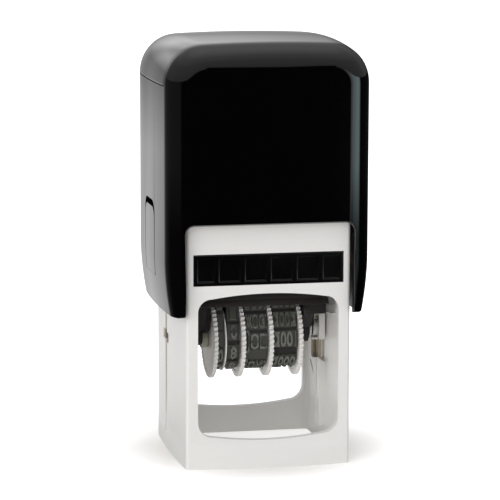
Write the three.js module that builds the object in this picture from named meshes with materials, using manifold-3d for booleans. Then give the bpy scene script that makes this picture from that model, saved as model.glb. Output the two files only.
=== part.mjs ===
// A self-inking date stamp: a base with a window, a sprung cap that is pressed down,
// and a carriage that turns over on its way from the ink pad to the paper.
// Millimetres, +Z up, +X to the right seen from the front, which faces -Y.
// The origin is the middle of the base's foot, on the surface that it stands on.

import * as THREE from 'three';
import { mergeVertices } from 'three/addons/utils/BufferGeometryUtils.js';
import Module from 'manifold-3d';

const wasm = await Module();
wasm.setup();

// Clearances that several pieces share
const fitGap = 0.3;
const runGap = 0.1;
const seatGap = 0.05;
const overrun = 2;

// Base frame
const baseWidth = 37;
const baseDepth = 37;
const sideWall = 1.6;
const endWall = 1.8;
const baseCornerRadius = 0.8;
const cavityCornerRadius = 1;
const wellDepth = 11;
const cavityHalfWidth = baseWidth / 2 - sideWall;
const cavityHalfDepth = baseDepth / 2 - endWall;

// Foot: it swells out below a crease that dips in the middle of each side
const footHeight = 6.2;
const footBulge = 1.5;
const footSideBulge = 0.6;
const footCreaseMiddle = 2.3;
const footCreaseCorner = 4.6;
const footCornerRadius = 0.8;

// Carriage: the pivot stands above the paper, and the die as far above it as it prints below it
const pivotHeight = 27.5;
const dieReach = 11;
const dieThickness = 1.5;
const dieInset = 0.8;
const plateThickness = 1.4;
const plateSideGap = 0.4;
const plateLip = 0.7;
const plateLipGap = 0.4;
const turnOverreach = 0.2;
const stroke = pivotHeight - dieReach;
const turnRadius = cavityHalfDepth + turnOverreach;
const plateTop = dieReach - dieThickness;
const plateBottom = plateTop - plateThickness;

// Ink cassette and pad, above the die and behind an opening in the front wall
const padClearance = 2.55;
const cassetteHeight = 7;
const cassetteTopGap = 0.2;
const cassetteSideGap = 0.15;
const cassetteFaceDepth = 1.6;
const cassetteFrame = 0.7;
const cassetteRecess = 0.4;
const cassetteRibWidth = 0.7;
const cassetteWindows = 6;
const trayWall = 0.85;
const trayRoof = 1.2;
const padLift = 0.25;
const cassetteBottom = pivotHeight + dieReach + padClearance;
const cassetteTop = cassetteBottom + cassetteHeight - cassetteTopGap;
const cassetteHalfWidth = cavityHalfWidth - cassetteSideGap;
const cassetteFront = -baseDepth / 2;
const trayRear = cavityHalfDepth - fitGap;

// Ledge at the rear wall, which the cassette's tray rests on
const ledgeDepth = 1.4;
const ledgeHeight = 1.6;
const ledgeSideGap = 4.9;
const ledgeHalfWidth = cavityHalfWidth - ledgeSideGap;

// Deck over the cassette, with the well above it
const cassetteHeadroom = 1.25;
const deckThickness = 1.7;
const deckBottom = cassetteBottom + cassetteHeight + cassetteHeadroom;
const deckTop = deckBottom + deckThickness;
const baseHeight = deckTop + wellDepth;

// Window in the front and rear walls of the base
const windowPost = 2.65;
const windowStrip = 1.95;
const windowTopRise = 1;
const windowTopRadius = 3;
const windowBottom = 7.1;
const windowBottomDrop = 1;
const windowBottomRadius = 3.4;
const windowHalfWidth = baseWidth / 2 - windowPost;
const windowTop = cassetteBottom - windowStrip - windowTopRise;

// Guide slots in the side walls, with two notches beside the pivot, where the carriage parks
const slotPlace = 7;
const slotWidth = 2.2;
const slotBottom = 3.3;
const slotDeckGap = 1.3;
const rearNotchReach = 2.4;
const rearNotchDrop = 2.9;
const rearNotchHeight = 2.3;
const frontNotchReach = 2;
const frontNotchDrop = 3.4;
const frontNotchHeight = 2.4;
const slotTop = deckBottom - slotDeckGap;

// Inner yoke: panels beside the carriage, hung from a plate that clears the base when the cap is down
const yokeWall = 0.9;
const yokeRibGap = 0.2;
const yokeEndGap = 4.2;
const yokePanelLift = 17.3;
const yokeHookHalfDepth = 3;
const yokeHookDrop = 3;
const yokePlate = 2;
const yokePressGap = 2.5;
const yokeSlotGap = 0.3;
const yokeStudRadius = 1.5;
const yokeStudInset = 4.5;
const yokeStudSink = 0.3;

// Ribs on the inside of the side walls, which the yoke slides past
const ribHeight = 1.3;
const ribDrop = 7;
const ribWidth = 2.8;
const ribBottom = 4.3;
const ribLobeReach = 5.6;
const ribLobeBottom = 15.2;
const ribLobeTop = 19.2;

const yokeOutside = cavityHalfWidth - ribHeight - yokeRibGap;
const yokeInside = yokeOutside - yokeWall;
const yokeStudPlace = yokeInside - yokeStudInset;
const yokeHalfDepth = cavityHalfDepth - yokeEndGap;
const yokePanelBottom = pivotHeight + yokePanelLift;
const yokeUnderside = baseHeight + stroke + yokePressGap;
const yokeTop = yokeUnderside + yokePlate;
const ribTop = pivotHeight - ribDrop;
const trayHalfWidth = yokeInside - fitGap;
const plateHalfWidth = yokeInside - plateSideGap;
const dieHalfWidth = plateHalfWidth - dieInset;

// Main spring, with its cup and post on the base's deck
const springRadius = 6;
const springWire = 1.1;
const springCurls = 8;
const springCupGap = 0.85;
const springCupWall = 1;
const springCupHeight = 3;
const springPostGap = 1.05;
const springPostHeight = 8;
const springCupRadius = springRadius + springWire / 2 + springCupGap + springCupWall;
const springPostRadius = springRadius - springWire / 2 - springPostGap;

// Cap shell: sections that shrink towards the front and the rear, over legs beside the base
const mouthSideGap = 0.4;
const mouthDeckGap = 6.55;
const mouthTopRadius = 2;
const mouthBevel = 0.4;
const mouthBevelDepth = 0.6;
const legWidth = 4.5;
const legPaperGap = 17.8;
const capEndGap = 0.7;
const capWall = 1.8;
const capEndRadius = 5.5;
const capBow = 0.5;
const capTopRadius = 8.8;
const capCrown = 0.35;
const capTaper = 1.3;
const capTaperHeight = 13.7;
const capFrontToeRadius = 2;
const capRearToeRadius = 6.5;
const mouthHalfWidth = baseWidth / 2 + mouthSideGap;
const mouthTop = cassetteBottom + cassetteHeight + mouthDeckGap;
const capHalfWidth = mouthHalfWidth + legWidth;
const capHalfDepth = baseDepth / 2 + capEndGap + capWall;
const capBottom = stroke + legPaperGap;
const capTaperTop = capBottom + capTaperHeight;

// Deck and walls in the cap's top, under the cover, whose side seams are level with the deck
const capDeckThickness = 1.8;
const capEndWall = 1.2;
const coverHeight = 10.2;
const coverSeamReach = 0.1;
const coverGap = 0.15;
const coverWall = 1.6;
const capDeckBottom = yokeTop;
const coverSeam = capDeckBottom + capDeckThickness;
const capTop = coverSeam + coverHeight;
const coverHalfDepth = capHalfDepth - capEndRadius + coverSeamReach;

// Index card, inside a low rim on the cap's deck
const cardSideMargin = 5.4;
const cardEndMargin = 3;
const cardThickness = 0.3;
const cardRimHeight = 2;
const cardRimWall = 1;
const cardRimGap = 1.2;
const cardHalfWidth = capHalfWidth - cardSideMargin;
const cardHalfDepth = coverHalfDepth - cardEndMargin;

// Release tongues in the cap's side walls
const tongueMiddle = 0.3;
const tongueHalfWidth = 5.7;
const tongueRootLift = 7.4;
const tongueHeight = 15.2;
const tongueTopGap = 1.5;
const tongueWall = 1.6;
const tongueCornerRadius = 2.5;
const tongueRoot = capBottom + tongueRootLift;
const tongueTop = tongueRoot + tongueHeight;

// Carriage arms and their journals in the yoke, in the carriage's own frame round the pivot
const journalRadius = 1.9;
const journalGap = 0.08;
const journalEndGap = 0.4;
const leftJournalLength = 1.3;
const rightJournalLength = 1.2;
const leftArmThickness = 2;
const rightArmThickness = 2.2;
const armHalfDepthTop = 9;
const armHalfDepthPivot = 4.4;
const armToeRadius = 3;
const armToeDrop = 1;
const rightBossRadius = 2.1;
const rightBossLength = 1.2;
const journalEnd = cavityHalfWidth - ribHeight - journalEndGap;
const rightBossEnd = journalEnd - rightJournalLength;
const leftArmOutside = journalEnd - leftJournalLength;
const rightArmOutside = rightBossEnd - rightBossLength;
const leftArmInside = leftArmOutside - leftArmThickness;
const rightArmInside = rightArmOutside - rightArmThickness;

// Date wheels, their axle and what else is on it
const axleDrop = 1.6;
const axleRadius = 1.2;
const axleSocketDepth = 1.4;
const wheelPlateGap = 0.7;
const wheelToothDepth = 0.45;
const wheelTeeth = 48;
const wheelRim = 0.9;
const hubRadius = 5.4;
const discRadius = 7.5;
const discThickness = 0.4;
const leftSpacerRadius = 2.1;
const leftSpacerLength = 1.55;
const rightSpacerRadius = 2.4;
const rightSpacerLength = 0.35;
const axialGap = 0.1;
const wheelRadius = plateBottom + axleDrop - wheelPlateGap;
const boreRadius = axleRadius + runGap / 2;

// The hubs share what is left between the arms in these parts
const dayTensHub = 1.75;
const dayOnesHub = 3.05;
const monthHub = 5.4;
const yearHub = 5.8;
const wheelPlaces = dateWheelPlaces();

// Date bands: a loop round the hub below, a narrow nose at the die's face above
const bandThickness = 1.1;
const bandNoseHalfDepth = 3.6;
const bandNoseRadius = 1.5;
const bandTopSink = 0.4;
const bandFlankTurn = 10;
const bandSideGap = 0.1;
const guideSideGap = 0.3;
const guideThickness = 1.6;
const dateSlotGap = 0.7;
const dateSlotSideGap = 0.6;
const bandInside = hubRadius + bandSideGap;
const bandTop = dieReach - bandTopSink;
const guideTop = bandTop - bandThickness - bandSideGap;
const guideHalfDepth = bandNoseHalfDepth - bandThickness - guideSideGap;

// Plain numbers of segments
const arcSteps = 5;
const bowSteps = 4;
const roundSides = 24;
const pinSides = 16;
const wireSides = 5;
const curlSteps = 8;

// Outlines are lists of [across, up]

function arc(x, y, radius, from, to, steps = arcSteps) {
  const points = [];
  for (let n = 0; n <= steps; n += 1) {
    const turn = THREE.MathUtils.degToRad(from + ((to - from) * n) / steps);
    points.push([x + radius * Math.cos(turn), y + radius * Math.sin(turn)]);
  }
  return points;
}

function circle(x, y, radius, sides) {
  return arc(x, y, radius, 0, 360, sides).slice(0, sides);
}

function rectangle(left, right, bottom, top) {
  return [[left, bottom], [right, bottom], [right, top], [left, top]];
}

function roundedRectangle(halfWidth, halfDepth, radius) {
  const x = halfWidth - radius;
  const y = halfDepth - radius;
  return [
    ...arc(x, -y, radius, -90, 0), ...arc(x, y, radius, 0, 90),
    ...arc(-x, y, radius, 90, 180), ...arc(-x, -y, radius, 180, 270),
  ];
}

// A rise of the given height over a stretch of a line, as a shallow curve without its ends
function bow(from, to, level, rise) {
  const points = [];
  const steps = bowSteps * 2;
  for (let n = 1; n < steps; n += 1) {
    const share = n / steps;
    points.push([from + (to - from) * share, level + rise * 4 * share * (1 - share)]);
  }
  return points;
}

function mirrored(points) {
  return points.map(([x, y]) => [-x, y]).reverse();
}

// Solids

function solid(geometry) {
  geometry.deleteAttribute('normal');
  geometry.deleteAttribute('uv');
  const merged = mergeVertices(geometry.index ? geometry.toNonIndexed() : geometry, 1e-5);
  const vertProperties = Float32Array.from(merged.attributes.position.array);
  const triVerts = Uint32Array.from(merged.index.array);
  return new wasm.Manifold(new wasm.Mesh({ numProp: 3, vertProperties, triVerts }));
}

function extruded(outline, length, place) {
  const shape = new THREE.Shape(outline.map(([x, y]) => new THREE.Vector2(x, y)));
  const geometry = new THREE.ExtrudeGeometry(shape, { depth: length, bevelEnabled: false });
  geometry.applyMatrix4(place);
  return solid(geometry);
}

// An outline in X and Y, carried up from one height to another
function upright(outline, bottom, top) {
  return extruded(outline, top - bottom, new THREE.Matrix4().makeTranslation(0, 0, bottom));
}

// An outline in X and Z, carried from front to rear
function frontal(outline, front, rear) {
  const place = new THREE.Matrix4().makeTranslation(0, rear, 0);
  place.multiply(new THREE.Matrix4().makeRotationX(Math.PI / 2));
  return extruded(outline, rear - front, place);
}

// An outline in Y and Z, carried from left to right
function sideways(outline, left, right) {
  const axes = [new THREE.Vector3(0, 1, 0), new THREE.Vector3(0, 0, 1), new THREE.Vector3(1, 0, 0)];
  const place = new THREE.Matrix4().makeTranslation(left, 0, 0);
  place.multiply(new THREE.Matrix4().makeBasis(...axes));
  return extruded(outline, right - left, place);
}

function block(left, right, front, rear, bottom, top) {
  return upright(rectangle(left, right, front, rear), bottom, top);
}

function rod(radius, left, right, y = 0, z = 0, sides = roundSides) {
  return sideways(circle(y, z, radius, sides), left, right);
}

function post(radius, x, y, bottom, top, sides = roundSides) {
  return upright(circle(x, y, radius, sides), bottom, top);
}

// A skin through loops of equally many points that turn left about the way they go, with a fan at each end
function loft(loops) {
  const count = loops[0].length;
  const middle = (loop) => [0, 1, 2].map((k) => loop.reduce((sum, p) => sum + p[k], 0) / count);
  const points = [...loops.flat(), middle(loops[0]), middle(loops.at(-1))];
  const first = loops.length * count;
  const faces = [];
  for (let n = 0; n < count; n += 1) {
    const next = (n + 1) % count;
    for (let row = 0; row + 1 < loops.length; row += 1) {
      const low = row * count;
      const high = low + count;
      faces.push(low + n, low + next, high + next, low + n, high + next, high + n);
    }
    const last = first - count;
    faces.push(first, next, n, first + 1, last + n, last + next);
  }
  const geometry = new THREE.BufferGeometry();
  geometry.setAttribute('position', new THREE.Float32BufferAttribute(points.flat(), 3));
  geometry.setIndex(faces);
  return solid(geometry);
}

function joined(pieces) {
  return pieces.reduce((whole, piece) => whole.add(piece));
}

function both(piece) {
  return piece.add(piece.mirror([1, 0, 0]));
}

function geometryOf(body) {
  const { vertProperties, triVerts } = body.getMesh();
  const geometry = new THREE.BufferGeometry();
  geometry.setAttribute('position', new THREE.BufferAttribute(vertProperties, 3));
  geometry.setIndex(new THREE.BufferAttribute(triVerts, 1));
  return geometry;
}

// Base frame

function windowOutline() {
  const topCorner = windowTop - windowTopRadius;
  const topReach = windowHalfWidth - windowTopRadius;
  const lowCorner = windowBottom + windowBottomRadius;
  const lowReach = windowHalfWidth - windowBottomRadius;
  return [
    ...arc(lowReach, lowCorner, windowBottomRadius, -90, 0),
    ...arc(topReach, topCorner, windowTopRadius, 0, 90),
    ...bow(topReach, -topReach, windowTop, windowTopRise),
    ...arc(-topReach, topCorner, windowTopRadius, 90, 180),
    ...arc(-lowReach, lowCorner, windowBottomRadius, 180, 270),
    ...bow(-lowReach, lowReach, windowBottom, -windowBottomDrop),
  ];
}

// One loop round the foot: sides that bulge between rounded corners, at a height that varies along them
function footLoop(bulge, radius, height) {
  const points = [];
  const steps = bowSteps * 2;
  const turned = ([x, y], side) => [[x, y], [-y, x], [-x, -y], [y, -x]][side];
  for (let side = 0; side < 4; side += 1) {
    const across = (side % 2 ? baseDepth : baseWidth) / 2 - radius;
    const out = (side % 2 ? baseWidth : baseDepth) / 2;
    const swell = side % 2 ? footSideBulge * bulge : footBulge * bulge;
    for (let n = 1; n < steps; n += 1) {
      const share = (2 * n) / steps - 1;
      const level = height(share * share);
      points.push([...turned([share * across, -out - swell * (1 - share * share)], side), level]);
    }
    for (const place of arc(across, radius - out, radius, -90, 0)) {
      points.push([...turned(place, side), height(1)]);
    }
  }
  return points;
}

function foot() {
  const rise = footCreaseCorner - footCreaseMiddle;
  return loft([
    footLoop(1, footCornerRadius, () => 0),
    footLoop(1, footCornerRadius, (share) => footCreaseMiddle + rise * share),
    footLoop(0, baseCornerRadius, () => footHeight),
  ]);
}

function guideSlot() {
  const half = slotWidth / 2;
  const straight = rectangle(slotPlace - half, slotPlace + half, slotBottom, slotTop);
  const rearLow = pivotHeight - rearNotchDrop;
  const frontLow = pivotHeight - frontNotchDrop;
  const rear = rectangle(slotPlace, slotPlace + half + rearNotchReach, rearLow, rearLow + rearNotchHeight);
  const front = rectangle(slotPlace - half - frontNotchReach, slotPlace, frontLow,
    frontLow + frontNotchHeight);
  const outer = baseWidth / 2 + overrun;
  return joined([straight, rear, front].map((one) => sideways(one, cavityHalfWidth - seatGap, outer)));
}

function wallRib() {
  const half = ribWidth / 2;
  const inner = cavityHalfWidth - ribHeight;
  const outer = cavityHalfWidth + sideWall / 2;
  const rib = [...arc(0, ribBottom + half, half, 180, 360), [half, ribTop], [-half, ribTop]];
  const lobeRadius = (ribLobeTop - ribLobeBottom) / 2;
  const lobeMiddle = ribLobeBottom + lobeRadius;
  const lobe = [[0, ribLobeBottom], ...arc(ribLobeReach - lobeRadius, lobeMiddle, lobeRadius, -90, 90),
    [0, ribLobeTop]];
  return joined([sideways(rib, inner, outer), sideways(lobe, inner, outer)]);
}

function baseFrame() {
  const halfWidth = baseWidth / 2;
  const halfDepth = baseDepth / 2;
  const cavity = roundedRectangle(cavityHalfWidth, cavityHalfDepth, cavityCornerRadius);
  const frontWall = [-halfDepth - overrun, -cavityHalfDepth + seatGap];
  const yokeSlotReach = yokeHalfDepth + yokeSlotGap;
  const ledgeFront = cavityHalfDepth - ledgeDepth;
  let body = upright(roundedRectangle(halfWidth, halfDepth, baseCornerRadius), 0, baseHeight);
  body = body.add(foot());
  body = body.subtract(upright(cavity, -overrun, deckBottom));
  body = body.subtract(upright(cavity, deckTop, baseHeight + overrun));
  body = body.subtract(frontal(windowOutline(), frontWall[0], -frontWall[0]));
  body = body.subtract(frontal(rectangle(-cavityHalfWidth, cavityHalfWidth, cassetteBottom,
    cassetteBottom + cassetteHeight), ...frontWall));
  body = body.subtract(both(guideSlot()));
  body = body.subtract(both(block(yokeInside - yokeSlotGap, cavityHalfWidth, -yokeSlotReach, yokeSlotReach,
    deckBottom - overrun, deckTop + overrun)));
  body = body.add(both(wallRib()));
  body = body.add(block(-ledgeHalfWidth, ledgeHalfWidth, ledgeFront, cavityHalfDepth + endWall / 2,
    cassetteBottom - ledgeHeight, cassetteBottom));
  const cupInside = springCupRadius - springCupWall;
  const cup = post(springCupRadius, 0, 0, deckTop - seatGap, deckTop + springCupHeight)
    .subtract(post(cupInside, 0, 0, deckTop - overrun, deckTop + springCupHeight + overrun));
  const guide = post(springPostRadius, 0, 0, deckTop - seatGap, deckTop + springPostHeight);
  return joined([body, cup, guide]);
}

// Ink cassette: a ribbed face in the front opening, with an open-bottomed tray behind it

function inkCassette() {
  const back = cassetteFront + cassetteFaceDepth;
  const trayBottom = cassetteBottom;
  let body = block(-cassetteHalfWidth, cassetteHalfWidth, cassetteFront, back, trayBottom, cassetteTop);
  const width = (2 * (cassetteHalfWidth - cassetteFrame) + cassetteRibWidth) / cassetteWindows;
  for (let n = 0; n < cassetteWindows; n += 1) {
    const left = -cassetteHalfWidth + cassetteFrame + n * width;
    body = body.subtract(block(left, left + width - cassetteRibWidth, cassetteFront - overrun,
      cassetteFront + cassetteRecess, trayBottom + cassetteFrame, cassetteTop - cassetteFrame));
  }
  const tray = block(-trayHalfWidth, trayHalfWidth, back - seatGap, trayRear, trayBottom, cassetteTop);
  const inside = trayHalfWidth - trayWall;
  const hollow = block(-inside, inside, back + trayWall, trayRear - trayWall, trayBottom - overrun,
    cassetteTop - trayRoof);
  return body.add(tray).subtract(hollow);
}

function inkPad() {
  const halfWidth = trayHalfWidth - trayWall - runGap;
  const front = cassetteFront + cassetteFaceDepth + trayWall + runGap;
  const rear = trayRear - trayWall - runGap;
  return block(-halfWidth, halfWidth, front, rear, cassetteBottom + padLift, cassetteTop - trayRoof);
}

// Cap: each section is the front outline, drawn in by some amount

function capSection(inset, bottom) {
  const half = capHalfWidth - inset;
  const radius = capTopRadius - inset;
  const cornerX = half - radius;
  const cornerZ = capTop - capCrown - capTopRadius;
  const side = [];
  for (let n = 0; n <= bowSteps; n += 1) {
    const share = 1 - n / bowSteps;
    const z = capTaperTop - (capTaperTop - capBottom) * share;
    side.push([half - capTaper * share * share, z]);
  }
  const right = [[side[0][0], bottom], ...side, ...arc(cornerX, cornerZ, radius, 0, 90)];
  const crown = bow(cornerX, -cornerX, cornerZ + radius, capCrown);
  return [...right, ...crown, ...mirrored(right)];
}

function capForm(inset, bottom) {
  const loops = [];
  const start = capHalfDepth - capEndRadius;
  const radius = capEndRadius - inset;
  const add = (y, drawnIn) => {
    loops.push(capSection(inset + drawnIn, bottom).map(([x, z]) => [x, y, z]));
  };
  for (let n = arcSteps; n > 0; n -= 1) {
    const turn = (Math.PI / 2) * (n / arcSteps);
    add(-start - radius * Math.sin(turn), capBow + radius * (1 - Math.cos(turn)));
  }
  for (let n = -bowSteps; n <= bowSteps; n += 1) {
    const share = n / bowSteps;
    add(start * share, capBow * share * share);
  }
  for (let n = 1; n <= arcSteps; n += 1) {
    const turn = (Math.PI / 2) * (n / arcSteps);
    add(start + radius * Math.sin(turn), capBow + radius * (1 - Math.cos(turn)));
  }
  return loft(loops.reverse());
}

function toeOutline() {
  const front = -capHalfDepth - overrun;
  const rear = capHalfDepth;
  const top = capTop + overrun;
  return [
    ...arc(-capHalfDepth + capFrontToeRadius, capBottom + capFrontToeRadius, capFrontToeRadius, 180, 270),
    ...arc(rear - capRearToeRadius, capBottom + capRearToeRadius, capRearToeRadius, -90, 0),
    [rear, capTaperTop], [rear + overrun, capTaperTop + overrun], [rear + overrun, top], [front, top],
    [front, capTaperTop + overrun], [-capHalfDepth, capTaperTop],
  ];
}

function mouthOutline(bevel) {
  const half = mouthHalfWidth + bevel;
  const top = mouthTop + bevel;
  const radius = mouthTopRadius + bevel;
  return [
    [-half, capBottom - overrun], [half, capBottom - overrun],
    ...arc(half - radius, top - radius, radius, 0, 90),
    ...arc(-half + radius, top - radius, radius, 90, 180),
  ];
}

// The mouth goes through the end wall, with a slope round its outer edge
function mouth() {
  const inner = -capHalfDepth + mouthBevelDepth;
  const outer = -capHalfDepth - seatGap;
  const through = frontal(mouthOutline(0), -capHalfDepth - overrun, -capHalfDepth + capEndRadius);
  const flat = (outline, y) => outline.map(([x, z]) => [x, y, z]);
  const slope = loft([flat(mouthOutline(0), inner), flat(mouthOutline(mouthBevel), outer)]);
  return through.add(slope);
}

function tongueOutline(gap, topGap) {
  const half = tongueHalfWidth + gap;
  const radius = tongueCornerRadius + gap;
  const top = tongueTop + topGap;
  return [
    [tongueMiddle - half, tongueRoot], [tongueMiddle + half, tongueRoot],
    ...arc(tongueMiddle + half - radius, top - radius, radius, 0, 90),
    ...arc(tongueMiddle - half + radius, top - radius, radius, 90, 180),
  ];
}

function capShell() {
  const whole = capForm(0, capBottom);
  const wide = capHalfWidth + overrun;
  const wallReach = coverHalfDepth + capEndWall;
  const ringX = cardHalfWidth + cardRimGap;
  const ringY = cardHalfDepth + cardRimGap;
  const band = (reach, bottom, top) => block(-wide, wide, -reach, reach, bottom, top);
  let body = whole.subtract(capForm(capWall, capBottom - overrun));
  body = body.add(whole.intersect(band(wallReach, capDeckBottom, capTop + overrun)
    .subtract(band(coverHalfDepth, coverSeam, capTop + overrun))));
  body = body.subtract(band(coverHalfDepth, coverSeam, capTop + overrun));
  body = body.subtract(mouth().add(mouth().mirror([0, 1, 0])));
  body = body.intersect(sideways(toeOutline(), -wide, wide));
  const gap = sideways(tongueOutline(fitGap, tongueTopGap), yokeOutside, wide);
  body = body.subtract(both(gap));
  const studHole = post(yokeStudRadius + fitGap, yokeStudPlace, 0, capDeckBottom - overrun,
    coverSeam + overrun, pinSides);
  body = body.subtract(both(studHole));
  const rim = block(-ringX - cardRimWall, ringX + cardRimWall, -ringY - cardRimWall, ringY + cardRimWall,
    coverSeam - seatGap, coverSeam + cardRimHeight);
  return body.add(rim.subtract(block(-ringX, ringX, -ringY, ringY, coverSeam - overrun,
    coverSeam + cardRimHeight + overrun)));
}

function topCover() {
  const wide = capHalfWidth + overrun;
  const reach = coverHalfDepth - coverGap;
  const skin = capForm(0, capBottom).subtract(capForm(coverWall, capBottom - overrun));
  return skin.intersect(block(-wide, wide, -reach, reach, coverSeam + coverGap, capTop + overrun));
}

function indexCard() {
  return block(-cardHalfWidth, cardHalfWidth, -cardHalfDepth, cardHalfDepth, coverSeam,
    coverSeam + cardThickness);
}

function releaseTongue() {
  const skin = capForm(0, capBottom).subtract(capForm(tongueWall, capBottom - overrun));
  return skin.intersect(sideways(tongueOutline(0, 0), yokeOutside, capHalfWidth + overrun));
}

// Yoke: a plate under the cap's deck and two panels that hold the carriage

function innerYoke() {
  const hookBottom = pivotHeight - yokeHookDrop;
  const panel = [
    [-yokeHalfDepth, yokePanelBottom], [-yokeHookHalfDepth, yokePanelBottom],
    ...arc(0, hookBottom + yokeHookHalfDepth, yokeHookHalfDepth, 180, 360, arcSteps * 2),
    [yokeHookHalfDepth, yokePanelBottom], [yokeHalfDepth, yokePanelBottom],
    [yokeHalfDepth, yokeTop], [-yokeHalfDepth, yokeTop],
  ];
  const bore = rod(journalRadius + journalGap, yokeInside - overrun, yokeOutside + overrun, 0, pivotHeight);
  const plate = block(-yokeOutside, yokeOutside, -yokeHalfDepth, yokeHalfDepth, yokeUnderside, yokeTop);
  const stud = post(yokeStudRadius, yokeStudPlace, 0, yokeTop - seatGap, coverSeam - yokeStudSink, pinSides);
  return both(sideways(panel, yokeInside, yokeOutside).subtract(bore)).add(plate).add(both(stud));
}

// Main spring: one unbroken wire from the base's deck to the yoke's plate

function springPath() {
  const low = deckTop + springWire / 2 + seatGap;
  const high = yokeUnderside - springWire / 2 - seatGap;
  const steps = springCurls * curlSteps;
  const points = [];
  for (let n = 0; n <= steps; n += 1) {
    const turn = (2 * Math.PI * n) / curlSteps;
    const height = low + ((high - low) * n) / steps;
    points.push(new THREE.Vector3(springRadius * Math.cos(turn), springRadius * Math.sin(turn), height));
  }
  return points;
}

function leastGap(points) {
  let least = Infinity;
  for (let a = 0; a < points.length; a += 1) {
    for (let b = a + curlSteps / 2; b < points.length; b += 1) {
      least = Math.min(least, points[a].distanceTo(points[b]) - springWire);
    }
  }
  return least;
}

function mainSpring() {
  const points = springPath();
  console.log('least gap between the spring\'s curls, mm:', leastGap(points).toFixed(2));
  const loops = points.map((point) => {
    const out = new THREE.Vector3(point.x, point.y, 0).normalize();
    return circle(0, 0, springWire / 2, wireSides).map(([across, up]) => {
      const place = point.clone().addScaledVector(out, across);
      return [place.x, place.y, place.z + up];
    });
  });
  return loft(loops.reverse());
}

// Carriage: pieces in its own frame, with the pivot at the origin

function dateSlot(gap, side) {
  const left = -wheelPlaces.hubLeft - gap;
  return block(left, wheelPlaces.hubRight + gap, -bandNoseHalfDepth - side, bandNoseHalfDepth + side,
    plateBottom - overrun, dieReach + overrun);
}

// A plate whose front and rear edges lean in, so that it turns inside the base
function leaningPlate(halfWidth, bottom, top) {
  const reach = (z) => Math.sqrt(turnRadius * turnRadius - z * z);
  return sideways([[-reach(bottom), bottom], [reach(bottom), bottom], [reach(top), top],
    [-reach(top), top]], -halfWidth, halfWidth);
}

function armOutline() {
  return [
    ...arc(0, -armToeDrop, armToeRadius, 180, 360, arcSteps * 2),
    [armHalfDepthPivot, armToeDrop], [armHalfDepthTop, plateBottom + seatGap],
    [-armHalfDepthTop, plateBottom + seatGap], [-armHalfDepthPivot, armToeDrop],
  ];
}

function carriageFrame() {
  const wide = plateHalfWidth + plateLip;
  const lipRear = -yokeHookHalfDepth - plateLipGap;
  let body = leaningPlate(wide, plateBottom, plateTop);
  body = body.subtract(both(block(plateHalfWidth, wide + overrun, lipRear, turnRadius,
    plateBottom - overrun, plateTop + overrun)));
  body = body.subtract(dateSlot(dateSlotGap, dateSlotSideGap));
  body = body.add(sideways(armOutline(), -leftArmOutside, -leftArmInside));
  body = body.add(sideways(armOutline(), rightArmInside, rightArmOutside));
  body = body.add(rod(journalRadius, -journalEnd, -leftArmOutside + seatGap));
  body = body.add(rod(rightBossRadius, rightArmOutside - seatGap, rightBossEnd));
  body = body.add(rod(journalRadius, rightBossEnd - seatGap, journalEnd));
  const leftSocket = -leftArmInside - axleSocketDepth;
  const rightSocket = rightArmInside + axleSocketDepth;
  return body.subtract(rod(boreRadius, leftSocket, rightSocket, 0, -axleDrop));
}

function rubberDie() {
  const plate = leaningPlate(dieHalfWidth, plateTop, dieReach);
  return plate.subtract(dateSlot(axialGap, dateSlotSideGap / 2));
}

function wheelAxle() {
  const hold = axleSocketDepth - runGap;
  return rod(axleRadius, -leftArmInside - hold, rightArmInside + hold, 0, 0, pinSides);
}

// Pieces on the axle, in a frame whose origin is on it

function onAxle(radius, left, right) {
  return rod(radius, left, right).subtract(rod(boreRadius, left - overrun, right + overrun, 0, 0, pinSides));
}

function toothedRim(left) {
  const points = [];
  const sides = wheelTeeth * 2;
  for (let n = 0; n < sides; n += 1) {
    const radius = n % 2 ? wheelRadius : wheelRadius - wheelToothDepth;
    const turn = (2 * Math.PI * n) / sides;
    points.push([radius * Math.cos(turn), radius * Math.sin(turn)]);
  }
  return sideways(points, left, left + wheelRim);
}

function dateWheel({ rim, left, right }) {
  const overlap = rim < left ? [left - seatGap, right] : [left, right + seatGap];
  const ends = [Math.min(rim, left) - overrun, Math.max(rim + wheelRim, right) + overrun];
  const bore = rod(boreRadius, ...ends, 0, 0, pinSides);
  return rod(hubRadius, ...overlap).add(toothedRim(rim)).subtract(bore);
}

// Places along the axle, worked from the left wheel to the right one
function dateWheelPlaces() {
  const spacers = leftSpacerLength + rightSpacerLength + discThickness;
  const taken = spacers + 4 * wheelRim + 6 * axialGap;
  const share = (leftArmInside + rightArmInside - taken) / (dayTensHub + dayOnesHub + monthHub + yearHub);
  const tens = { rim: axialGap + leftSpacerLength - leftArmInside };
  tens.left = tens.rim + wheelRim;
  tens.right = tens.left + dayTensHub * share;
  const disc = tens.right + axialGap;
  const ones = { left: disc + discThickness + axialGap };
  const month = {};
  const year = {};
  let end = ones.left;
  for (const [wheel, hub] of [[ones, dayOnesHub], [month, monthHub], [year, yearHub]]) {
    wheel.left = end;
    wheel.right = end + hub * share;
    wheel.rim = wheel.right;
    end = wheel.rim + wheelRim + axialGap;
  }
  return { tens, disc, ones, month, year, hubLeft: -tens.left, hubRight: year.right };
}

// A band's loop round its hub and up to the die's face, at some distance outside the hub
function bandLoop(grow) {
  const low = bandInside + grow;
  const top = bandTop - bandThickness + grow;
  const half = bandNoseHalfDepth - bandThickness + grow;
  const radius = bandNoseRadius - bandThickness / 2 + grow / 2;
  return [
    ...arc(0, -axleDrop, low, 180 - bandFlankTurn, 360 + bandFlankTurn, arcSteps * 4),
    ...arc(half - radius, top - radius, radius, bandFlankTurn, 90),
    ...arc(-half + radius, top - radius, radius, 90, 180 - bandFlankTurn),
  ];
}

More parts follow.
